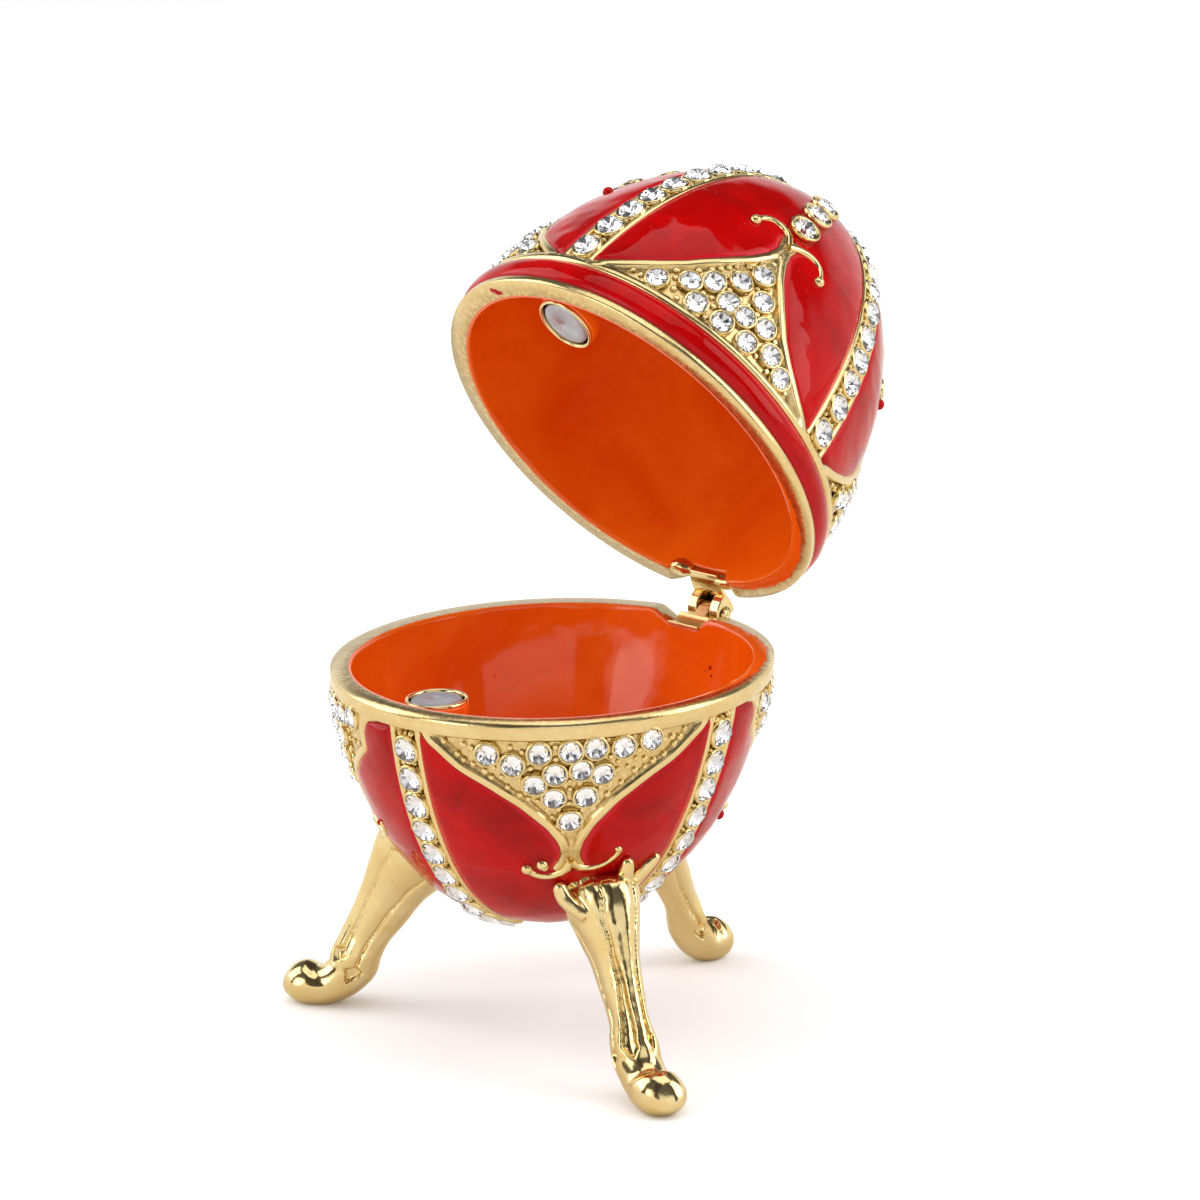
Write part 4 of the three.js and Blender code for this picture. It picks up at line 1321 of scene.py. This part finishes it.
# solder and rod ends on the bowl: stops of (across, distance from the rim, height over the bowl, radius)
rodEnds = {
    "right": [
        [(3.15, 16.6, 0.95, 0.66), (3.1, 17.3, 1.05, 0.78), (3.0, 18.3, 1.1, 0.95), (2.7, 19.4, 1.2, 1.1),
         (2.2, 20.8, 1.3, 1.2)],
        [(-2.9, 19.2, 0.95, 0.75), (-2.5, 19.8, 1.6, 0.85), (-1.7, 20.2, 2.5, 0.85), (-1.0, 20.4, 3.2, 0.8)],
        [(3.2, 20.9, 0.8, 1.0), (4.4, 19.6, 0.7, 0.9), (5.4, 18.4, 0.62, 0.78), (6.5, 17.3, 0.5, 0.6)],
        [(-0.9, 18.9, 0.5, 0.42), (0.3, 18.8, 0.5, 0.5), (1.5, 18.9, 0.5, 0.5), (2.4, 18.9, 0.6, 0.5)],
    ],
    "left": [
        [(-2.4, 18.7, 0.6, 0.85), (-2.3, 20.0, 1.0, 1.0)],
        [(0.2, 18.0, 0.7, 0.95), (0.2, 19.6, 1.2, 1.2)],
        [(2.5, 18.8, 0.6, 0.75), (2.8, 20.2, 0.9, 0.95)],
        [(3.4, 20.2, 0.5, 0.5), (4.6, 21.8, 0.45, 0.45), (5.4, 23.4, 0.4, 0.4), (5.8, 24.6, 0.4, 0.36)],
    ],
    "back": [
        [(-2.6, 18.6, 0.5, 0.8), (-2.4, 20.0, 0.9, 1.0)], [(0, 18.4, 0.5, 0.8), (0, 19.8, 1.0, 1.0)],
        [(2.6, 18.6, 0.5, 0.8), (2.4, 20.0, 0.9, 1.0)],
    ],
}
# loose grains of solder at the shoulders: how many, and ranges of across, distance from the rim and radius
legGrains = {"count": 46, "across": (-2.2, 4.0), "along": (18.9, 20.2), "radius": (0.16, 0.42), "over": 0.45}


def ballPoints(centre, radius, rows=7, sides=12):
    # a small closed ball
    points = []
    for r in range(1, rows):
        polar = math.pi * r / rows
        points += ringPoints(sides, math.sin(polar), math.cos(polar))
    points += [(0, 0, 1), (0, 0, -1)]
    faces = gridFaces(rows - 1, sides, True) + fanFaces(len(points) - 2, 0, sides, reverse=True)
    faces += fanFaces(len(points) - 1, (rows - 2) * sides, sides)
    return np.array(points) * radius + centre, faces


def ballCloud(balls):
    # many small balls, each a place and a radius, to be melted into one skin
    return joinShapes([ballPoints(np.array(place), radius) for place, radius in balls])


def creaseCuts(leg, t, angle, size):
    # how deep the creases cut into each point of a leg, and how far away the nearest one is
    crease = legShape["crease"]
    cut, nearest = np.zeros(angle.shape), np.full(angle.shape, 9.0)
    for top, bottom, stop, wide, pit in leg["creases"]:
        line = top + (bottom - top) * smooth(t / stop)
        for degrees, often in legShape["wander"]:
            line = line + degrees * np.sin(t * often + top)
        away = np.abs(np.angle(np.exp(1j * (angle - np.radians(line))))) * size
        opening = crease["halfAtTop"] + (wide - crease["halfAtTop"]) * smooth((t - 0.2) / (stop - 0.2))
        pitHalf = pit * smooth((t - stop + crease["pitRun"]) / 0.03)
        opening = np.maximum(opening, pitHalf) * np.clip((stop - t) / 0.055, 0, 1)
        depth = crease["depth"] + crease["deeper"] * smooth((t - 0.25) / 0.3)
        groove = smooth((opening - away) / crease["edge"] + 0.4) * (opening > 0.02)
        cut = np.maximum(cut, depth * groove)
        nearest = np.minimum(nearest, away)
    return cut, nearest


def creasedLeg(leg):
    # the rods of one leg as a loft from its shoulder to its toe: rows of points, and their middles
    shoulder = legShape["shoulderReach"]
    stretch = (leg["reach"] - shoulder) / (legShape["soleReach"] - shoulder)
    stations = curveThrough(legShape["outline"], 15)
    t, angle = np.meshgrid(np.linspace(0, 1, len(stations)),
                           np.linspace(-math.pi, math.pi, legShape["sides"], endpoint=False), indexing="ij")

    def stretched(distance):
        return np.where(distance < shoulder, distance, shoulder + (distance - shoulder) * stretch)

    outer = np.stack([stretched(stations[:, 0]), stations[:, 1]], -1)
    inner = np.stack([stretched(stations[:, 2]), stations[:, 3]], -1)
    half = stations[:, 4:5]
    middle, reach = (outer + inner) / 2, (outer - inner) / 2
    size = (np.hypot(reach[:, 0], reach[:, 1])[:, None] + half) / 2
    cut, nearest = creaseCuts(leg, t, angle, size)
    bulge = legShape["rodBulge"] * (np.sqrt(np.clip(nearest / legShape["rodRound"], 0, 1)) - 0.6)
    bulge = bulge * smooth((legShape["ankle"] + 0.05 - t) / 0.08)
    scale = 1 + (bulge - cut) / size
    forward = np.cos(angle) * scale
    across = np.sin(angle) * half * scale + leg["slide"] * smooth((0.55 - t) / 0.5)
    distance = middle[:, :1] + reach[:, :1] * forward
    height = middle[:, 1:] + reach[:, 1:] * forward
    drift = across + math.tan(math.radians(leg["toeTurn"])) * np.maximum(0, distance - shoulder)
    c, s = math.cos(math.radians(leg["azimuth"])), math.sin(math.radians(leg["azimuth"]))
    points = np.stack([c * distance - s * drift, s * distance + c * drift, height - egg["rimHeight"]], -1)
    centre = np.stack([c * middle[:, 0], s * middle[:, 0], middle[:, 1] - egg["rimHeight"]], -1)
    return points, centre


def rodShape(leg):
    # the loft closed at its shoulder and its toe
    rows, centre = creasedLeg(leg)
    count, sides = rows.shape[:2]
    points = np.concatenate([rows.reshape(-1, 3), [centre[0], rows[-1].mean(axis=0)]])
    faces = gridFaces(count, sides, True) + fanFaces(count * sides, 0, sides, reverse=True)
    return points, faces + fanFaces(count * sides + 1, (count - 1) * sides, sides)


def solderBalls(key, azimuth, rng):
    balls = []
    for stops in rodEnds[key]:
        for across, along, over, radius in curveThrough(stops, 6):
            balls.append((acrossForm(bowlForm, azimuth, across, along, over), radius))
    for _ in range(legGrains["count"]):
        across, along = rng.uniform(*legGrains["across"]), rng.uniform(*legGrains["along"])
        place = acrossForm(bowlForm, azimuth, across, along + 0.2 * abs(across), legGrains["over"])
        balls.append((place, rng.uniform(*legGrains["radius"])))
    return balls


def bowlRays(points):
    # points as seen from the middle of the bowl's rim: the bowl's lean there, the rest of the point's
    # distance from its axis, the length of the ray, and the bowl's own skin on it
    raw = np.clip(-points[:, 2], 0, bowlForm["length"])
    lean = math.radians(bowlForm["leanAzimuth"])
    shift = bowlForm["lean"] * raw
    shift = np.stack([shift * math.cos(lean), shift * math.sin(lean)], -1)
    flat = points[:, :2] - shift
    out = np.hypot(flat[:, 0], flat[:, 1])
    shell = np.hypot(bowlForm["radius"], bowlForm["height"])
    slope = np.arctan2(bowlForm["height"], bowlForm["radius"])
    skin = np.interp(np.arctan2(-points[:, 2], out), slope, shell)
    return shift, flat, np.hypot(out, points[:, 2]), skin


def aboveBowl(points):
    _, _, length, skin = bowlRays(points)
    return length - skin


def outOfBowl(points, depth):
    # holds points at most the given depth under the bowl's outer skin
    shift, flat, length, skin = bowlRays(points)
    limit = skin - depth
    sunk = (length < limit) & (points[:, 2] < 0)
    push = np.where(sunk, limit / np.maximum(length, 1e-6), 1)[:, None]
    return np.concatenate([flat * push + shift, points[:, 2:] * push], axis=1)


def roughenLeg(mesh, seed):
    # hand-finished waves all over, and a rough skin where the solder is
    count = len(mesh.vertices)
    where, outward = np.empty(count * 3), np.empty(count * 3, np.float32)
    mesh.vertices.foreach_get("co", where)
    mesh.vertex_normals.foreach_get("vector", outward)
    where, outward = where.reshape(-1, 3) * 1000 - rimCentre, outward.reshape(-1, 3)
    reach, softness = legShape["solderReach"]
    soldered = smooth((reach - aboveBowl(where)) / softness)
    waves = sum(height * ripple(where, length, seed + 3 * k)
                for k, (height, length) in enumerate(legShape["waves"]))
    height, length = legShape["solderWaves"]
    where = where + outward * (waves + soldered * height * ripple(where, length, seed + 6))[:, None]
    where[:, 2] = np.maximum(where[:, 2], -egg["rimHeight"])
    where = outOfBowl(where, legShape["stand"])
    mesh.vertices.foreach_set("co", toRow(where, False).ravel())
    setPointValues(mesh, "grain", soldered)


for key in ("back", "left", "right"):
    leg = legShape[key]
    solderedEnds = ballCloud(solderBalls(key, leg["azimuth"], np.random.default_rng(leg["seed"])))
    points, faces = joinShapes([rodShape(leg), solderedEnds])
    piece = meshPiece("leg" + key.capitalize(), outOfBowl(points, legShape["stand"]), faces)
    addSkin(piece, legShape["grain"])
    ease = piece.modifiers.new("ease", "SMOOTH")
    ease.factor, ease.iterations = 0.5, 2
    skinned = settleModifiers(piece)
    roughenLeg(skinned, leg["seed"])
    shadeFaces(skinned)
    finishPiece(piece, "base", [goldPolished], ["leg_" + key])
print("legs made")


# The magnets, their cups, and the bracket that holds each cup

catch = {
    "centre": 15.8,  # from the egg's axis
    "sides": 56,
    "below": 0.45, "height": 1.3,  # the disc: how far under the rim, and how thick
    "top": 0.35, "depth": 2.4,  # the cup
    "floor": 0.25,  # from the disc's back to the bezel's
    # profiles of (radius, depth), each depth from the disc's faces, the cup's ends or its floor
    "discFront": [(0.02, 0), (2.2, 0), (2.42, 0.05), (2.5, 0.16)],
    "discBack": [(2.5, -0.1), (2.4, 0), (0.02, 0)],
    "bezelFoot": [(2.72, 0)],
    "bezel": [(2.74, 0.12), (2.82, 0), (2.98, 0), (3.08, 0.12), (3.08, 0.6), (2.9, 0.8)],
    "sleeve": [(2.95, 0.42), (3.1, 0.34), (3.13, 0.6)], "sleeveBack": [(3.15, -0.3), (2.8, 0), (0.03, 0)],
    "sleeveFloor": [(0.03, 0), (2.9, 0)],
    # the bracket: its corners as (x, y), and how far inside the sleeve's ends it stays
    "bracket": [(-1.7, -18.3), (1.7, -18.3), (2.1, -20.6), (-2.1, -20.6)],
    "bracketIn": (0.45, 0.25),
}
boxFaces = [(0, 1, 2, 3), (7, 6, 5, 4), (0, 4, 5, 1), (1, 5, 6, 2), (2, 6, 7, 3), (3, 7, 4, 0)]


def atDepths(up, level, profile):
    # depths of a profile measured from a level, away from the rim
    return [(radius, level + up * depth) for radius, depth in profile]


def turnedCatch(name, profile, onLid):
    points, faces = turnedPiece(profile, catch["sides"], (0, -catch["centre"], 0), (0, 0, 1))
    return meshPiece(name, points, faces, onLid)


for key, form, onLid, body in halves:
    up = form["up"]
    near = up * (catch["below"] + form["rimStart"])
    far = near + up * catch["height"]
    level = up * (catch["top"] + form["rimStart"])
    deep = level + up * catch["depth"]
    floor = far + up * catch["floor"]
    disc = atDepths(up, near, catch["discFront"]) + atDepths(up, far, catch["discBack"])
    magnet = turnedCatch(key + "MagnetDisc", disc, onLid)
    finishPiece(magnet, body, [nickel], [key + "_magnet"])
    bezel = atDepths(up, floor, catch["bezelFoot"]) + atDepths(up, level, catch["bezel"])
    finishPiece(turnedCatch(key + "MagnetBezel", bezel, onLid), body, [goldPolished])
    sleeve = atDepths(up, level, catch["sleeve"]) + atDepths(up, deep, catch["sleeveBack"])
    sleeve += atDepths(up, floor, catch["sleeveFloor"])
    cup = turnedCatch(key + "MagnetSleeve", sleeve, onLid)
    ends = level + up * catch["bracketIn"][0], deep - up * catch["bracketIn"][1]
    bracket = meshPiece(key + "MagnetArm", [(x, y, z) for z in ends for x, y in catch["bracket"]], boxFaces,
                        onLid, False)
    finishPiece(joinPieces(key + "MagnetCup", [cup, bracket]), body, [orangeEnamel])
print("catch made")


# The hinge

hingeX, hingeY, hingeZ = egg["hinge"]
hingeShape = {
    "barrel": 1.05, "bore": 0.46, "half": 2.1, "tongue": 0.8, "play": 0.12,
    # side views as (y, z): the middle lines of the two bent strips, and the outlines of tongue and cheeks
    "foot": [(19.5, -1.15), (20.4, -1.25), (21.1, -1.0), (21.6, -0.5)], "footThick": 0.36,
    "tongueSide": [(20.3, -1.75), (22.4, -1.6), (hingeY, hingeZ - 0.85), (hingeY, hingeZ + 0.85),
                   (22.9, hingeZ + 0.8), (22.0, -0.7), (20.3, -1.3)],
    "roof": [(19.4, 1.0), (20.2, 1.0), (20.9, 0.8), (21.8, 0.62), (22.8, 0.72), (23.7, 0.7), (24.3, 0.45)],
    "roofThick": 0.4,
    "cheekFront": [(21.95, 0.3), (22.15, -0.45), (22.5, -1.1), (23.0, -1.55), (hingeY, -1.68)],
    "cheekBack": [(hingeY + 0.5, hingeZ - 0.9), (hingeY + 0.6, hingeZ + 1.1), (23.0, 0.7), (22.2, 0.62)],
    # one end of the pin, from its middle out, as (radius, distance)
    "pinEnd": [(0.45, 2.12), (0.66, 2.2), (0.66, 2.3), (0.45, 2.42), (0.02, 2.45)],
}


def strip(line, thickness):
    # the side view of a bent sheet of metal, from the line through its middle
    line = curveThrough(line, 5)
    run = np.gradient(line, axis=0)
    run /= np.linalg.norm(run, axis=1)[:, None]
    aside = np.stack([-run[:, 1], run[:, 0]], -1) * thickness / 2
    return [tuple(p) for p in np.concatenate([line + aside, (line - aside)[::-1]])]


def slab(name, outline, x0, x1, bevel, onLid):
    # an outline of (y, z) carried across from x0 to x1, its edges eased
    n = len(outline)
    points = [(hingeX + x, y, z) for x in (x0, x1) for y, z in outline]
    faces = [tuple(range(n)), tuple(range(2 * n - 1, n - 1, -1))]
    faces += [(i, (i + 1) % n, n + (i + 1) % n, n + i) for i in range(n)]
    obj = meshPiece(name, points, faces, onLid, False)
    ease = obj.modifiers.new("ease", "BEVEL")
    ease.width, ease.segments, ease.limit_method = bevel / 1000, 2, "ANGLE"
    settleModifiers(obj)
    return obj


def knuckle(name, x0, x1, onLid):
    radius, bore = hingeShape["barrel"], hingeShape["bore"]
    profile = [(bore, x0), (radius - 0.15, x0), (radius, x0 + 0.12), (radius, x1 - 0.12), (radius - 0.15, x1),
               (bore, x1)]
    points, faces = turnedPiece(profile, 36, egg["hinge"], (1, 0, 0))
    return meshPiece(name, points, faces, onLid)


half, tongue = hingeShape["half"], hingeShape["tongue"]
bowlLeaf = [
    slab("leafFoot", strip(hingeShape["foot"], hingeShape["footThick"]), -half, half, 0.08, False),
    slab("leafTongue", hingeShape["tongueSide"], -tongue, tongue, 0.1, False),
    knuckle("leafKnuckle", -tongue, tongue, False),
]
lidLeaf = [slab("leafBridge", strip(hingeShape["roof"], hingeShape["roofThick"]), -half, half, 0.08, True)]
cheek = [tuple(p) for p in curveThrough(hingeShape["cheekFront"], 5)] + hingeShape["cheekBack"]
for side in (-1, 1):
    x0, x1 = sorted((side * (tongue + hingeShape["play"]), side * half))
    lidLeaf += [slab("leafCheek", cheek, x0, x1, 0.1, True), knuckle("leafBarrel", x0, x1, True)]
finishPiece(joinPieces("hingeLeafBowl", bowlLeaf), "base", [goldSheet], ["hinge_leaf_bowl"])
finishPiece(joinPieces("hingeLeafLid", lidLeaf), "lid", [goldPolished], ["hinge_leaf_lid"])

# solder where the leaves meet the rims: stops of (x, y, z, radius), and how many loose grains lie about each
solder = {
    "lid": {"stops": [[(-4.7, 19.5, 0.95, 0.6), (-3.9, 19.5, 1.1, 0.95), (-3.0, 19.6, 1.2, 0.7)],
                      [(1.0, 20.4, 1.0, 0.5), (2.1, 20.4, 0.95, 0.7), (3.0, 20.1, 0.9, 0.5)],
                      [(-2.6, 20.3, 1.25, 0.35), (2.0, 20.3, 1.25, 0.35)]],
            "grainsEach": 8, "rim": 0.36},
    "bowl": {"stops": [[(-4.6, 20.1, -0.75, 0.4), (-3.4, 20.4, -1.3, 0.5), (-2.4, 20.6, -1.75, 0.5)],
                       [(1.0, 20.7, -1.7, 0.5), (1.9, 20.7, -1.3, 0.5), (2.6, 20.5, -0.7, 0.35)]],
             "grainsEach": 10, "rim": -0.05},
    "grain": 0.1, "spread": 0.22, "flattened": (1, 1, 0.5), "loose": (0.12, 0.26),
}


def solderPiece(key, onLid):
    look, rng = solder[key], np.random.default_rng(61)
    balls = []
    for stops in look["stops"]:
        path = curveThrough(stops, 7)
        balls += [(stop[:3], stop[3]) for stop in path]
        for _ in range(look["grainsEach"]):
            stop = path[rng.integers(len(path))]
            place = stop[:3] + rng.normal(0, solder["spread"], 3) * solder["flattened"]
            balls.append((place, rng.uniform(*solder["loose"])))
    points, faces = ballCloud(balls)
    held = np.maximum if onLid else np.minimum  # the lumps stay on their own side of the rim
    points[:, 2] = held(points[:, 2], look["rim"])
    lump = meshPiece(key + "Solder", points, faces, onLid)
    addSkin(lump, solder["grain"])
    shadeFaces(settleModifiers(lump))
    return lump


for key, _, onLid, body in halves:
    finishPiece(solderPiece(key, onLid), body, [goldSolder])
pinProfile = [(radius, -distance) for radius, distance in hingeShape["pinEnd"][::-1]] + hingeShape["pinEnd"]
points, faces = turnedPiece(pinProfile, 32, egg["hinge"], (1, 0, 0))
finishPiece(meshPiece("hingePin", points, faces), "base", [goldPolished], ["hinge_pin"])
print("hinge made")


# The camera

view = {"azimuth": 44.924, "elevation": 15.72, "roll": -1.599, "distance": 450,
        "target": (-11.168, 18.114, 0), "lens": 130.3}


def makeCamera():
    azimuth, elevation, roll = (math.radians(view[k]) for k in ("azimuth", "elevation", "roll"))
    back = Vector((math.sin(azimuth) * math.cos(elevation), -math.cos(azimuth) * math.cos(elevation),
                   math.sin(elevation)))
    right = Vector((math.cos(azimuth), math.sin(azimuth), 0))
    up = back.cross(right)
    rolledRight = right * math.cos(roll) + up * math.sin(roll)
    rolledUp = up * math.cos(roll) - right * math.sin(roll)
    aim = Vector(rimCentre + np.array(view["target"])) / 1000
    camera = linkedObject("camera", bpy.data.cameras.new("camera"))
    camera.matrix_world = Matrix.Translation(aim + back * view["distance"] / 1000) @ Matrix(
        (rolledRight, rolledUp, back)).transposed().to_4x4()
    camera.data.lens, camera.data.sensor_width = view["lens"], 36
    camera.data.clip_start, camera.data.clip_end = 0.01, 50
    bpy.context.scene.camera = camera


makeCamera()

# The studio: a pale floor that runs out of sight, large soft lights, and dark cards for the gold to mirror

studio = {
    "floorHalf": 3.0, "floorColour": (0.95, 0.95, 0.95),
    "floorPaintedReflection": (0.74, 0.70, 0.64),  # painted reflection: the paper shown darker and warmer wherever it is mirrored
    "lights": [
        {"name": "leftBox", "at": (-0.55, -0.35, 0.42), "size": (0.5, 0.6), "power": 2.2},
        {"name": "rightBox", "at": (0.52, 0.34, 0.4), "size": (0.42, 0.6), "power": 2.1},
        {"name": "topBox", "at": (0.05, 0.0, 0.75), "size": (0.7, 0.7), "power": 2.2},
        {"name": "frontBox", "at": (-0.14, -0.78, 0.25), "size": (0.3, 0.4), "power": 0.7},
    ],
    "lookAt": (0, 0, 0.04),
    "worldLight": 0.85,
    # how bright the surroundings are in a mirror, from straight below to straight above
    "surround": [(0.0, 0.5), (0.45, 0.8), (0.5, 1.15), (0.66, 1.0), (0.73, 0.14), (1.0, 0.09)],
    # azimuth, half its width, and the height above which it stands
    "cards": [(289, 0.17, 0.1), (5, 0.1, -1), (235, 0.12, -1), (120, 0.22, 0.45)],
    "cardColour": (0.06, 0.05, 0.045), "cardEdge": 0.04,
}


def makeFloor():
    half = studio["floorHalf"]
    mesh = bpy.data.meshes.new("floor")
    mesh.from_pydata([(-half, -half, 0), (half, -half, 0), (half, half, 0), (-half, half, 0)], [],
                     [(0, 1, 2, 3)])
    paper, tree, shader = newFinish("floorPaper", {"Roughness": 0.9, "Specular IOR Level": 0.1})
    # painted reflection: glossy rays see the paper darker and warmer than it is
    mirror = tree.nodes.new("ShaderNodeLightPath").outputs["Is Glossy Ray"]
    tree.links.new(mixColours(tree, mirror, studio["floorColour"], studio["floorPaintedReflection"]),
                   shader.inputs["Base Color"])
    mesh.materials.append(paper)
    linkedObject("floor", mesh)


def makeLights():
    for light in studio["lights"]:
        lamp = bpy.data.lights.new(light["name"], "AREA")
        lamp.shape, lamp.size, lamp.size_y = "RECTANGLE", *light["size"]
        lamp.energy = light["power"]
        box = linkedObject(light["name"], lamp)
        box.location = light["at"]
        toward = Vector(light["at"]) - Vector(studio["lookAt"])
        box.rotation_euler = toward.to_track_quat("Z", "Y").to_euler()
        box.visible_camera = False


def cardMask(tree, direction, azimuth, half, above):
    # where a dark upright card stands, seen edge on from the egg
    c, s = math.cos(math.radians(azimuth)), math.sin(math.radians(azimuth))
    offset = mathNode(tree, "ADD", mathNode(tree, "MULTIPLY", direction["X"], s),
                      mathNode(tree, "MULTIPLY", direction["Y"], -c))
    ahead = mathNode(tree, "ADD", mathNode(tree, "MULTIPLY", direction["X"], c),
                     mathNode(tree, "MULTIPLY", direction["Y"], s))
    mask = rangeNode(tree, mathNode(tree, "ABSOLUTE", offset), half, half + studio["cardEdge"], 1, 0)
    mask = mathNode(tree, "MULTIPLY", mask, mathNode(tree, "GREATER_THAN", ahead, 0.0))
    return mathNode(tree, "MULTIPLY", mask, mathNode(tree, "GREATER_THAN", direction["Z"], above))


def makeSurroundings():
    # an even pale light, and the darker surroundings that only the gold and the stones mirror
    world = bpy.data.worlds.new("studio")
    bpy.context.scene.world = world
    world.use_nodes = True
    sky = world.node_tree
    paths = sky.nodes.new("ShaderNodeLightPath").outputs
    direction = sky.nodes.new("ShaderNodeTexCoord").outputs["Generated"]
    direction = addNode(sky, "ShaderNodeSeparateXYZ", {0: direction}).outputs
    ramp = addNode(sky, "ShaderNodeValToRGB", {0: rangeNode(sky, direction["Z"], -1, 1, 0, 1)})
    elements = ramp.color_ramp.elements
    for k, (position, value) in enumerate(studio["surround"]):
        stop = elements[k] if k < 2 else elements.new(position)
        stop.position, stop.color = position, (value, value, value, 1)
    surround = ramp.outputs[0]
    for azimuth, half, above in studio["cards"]:
        surround = mixColours(sky, cardMask(sky, direction, azimuth, half, above), surround,
                              studio["cardColour"])
    mirrored = mathNode(sky, "MAXIMUM", paths["Is Glossy Ray"], paths["Is Transmission Ray"])
    soft = mixColours(sky, paths["Is Camera Ray"], (studio["worldLight"],) * 3, (1.0, 1.0, 1.0))
    sky.links.new(mixColours(sky, mirrored, soft, surround), sky.nodes["Background"].inputs["Color"])


makeFloor()
makeLights()
makeSurroundings()
bpy.context.scene.view_settings.view_transform = "Standard"
print("camera and studio set")
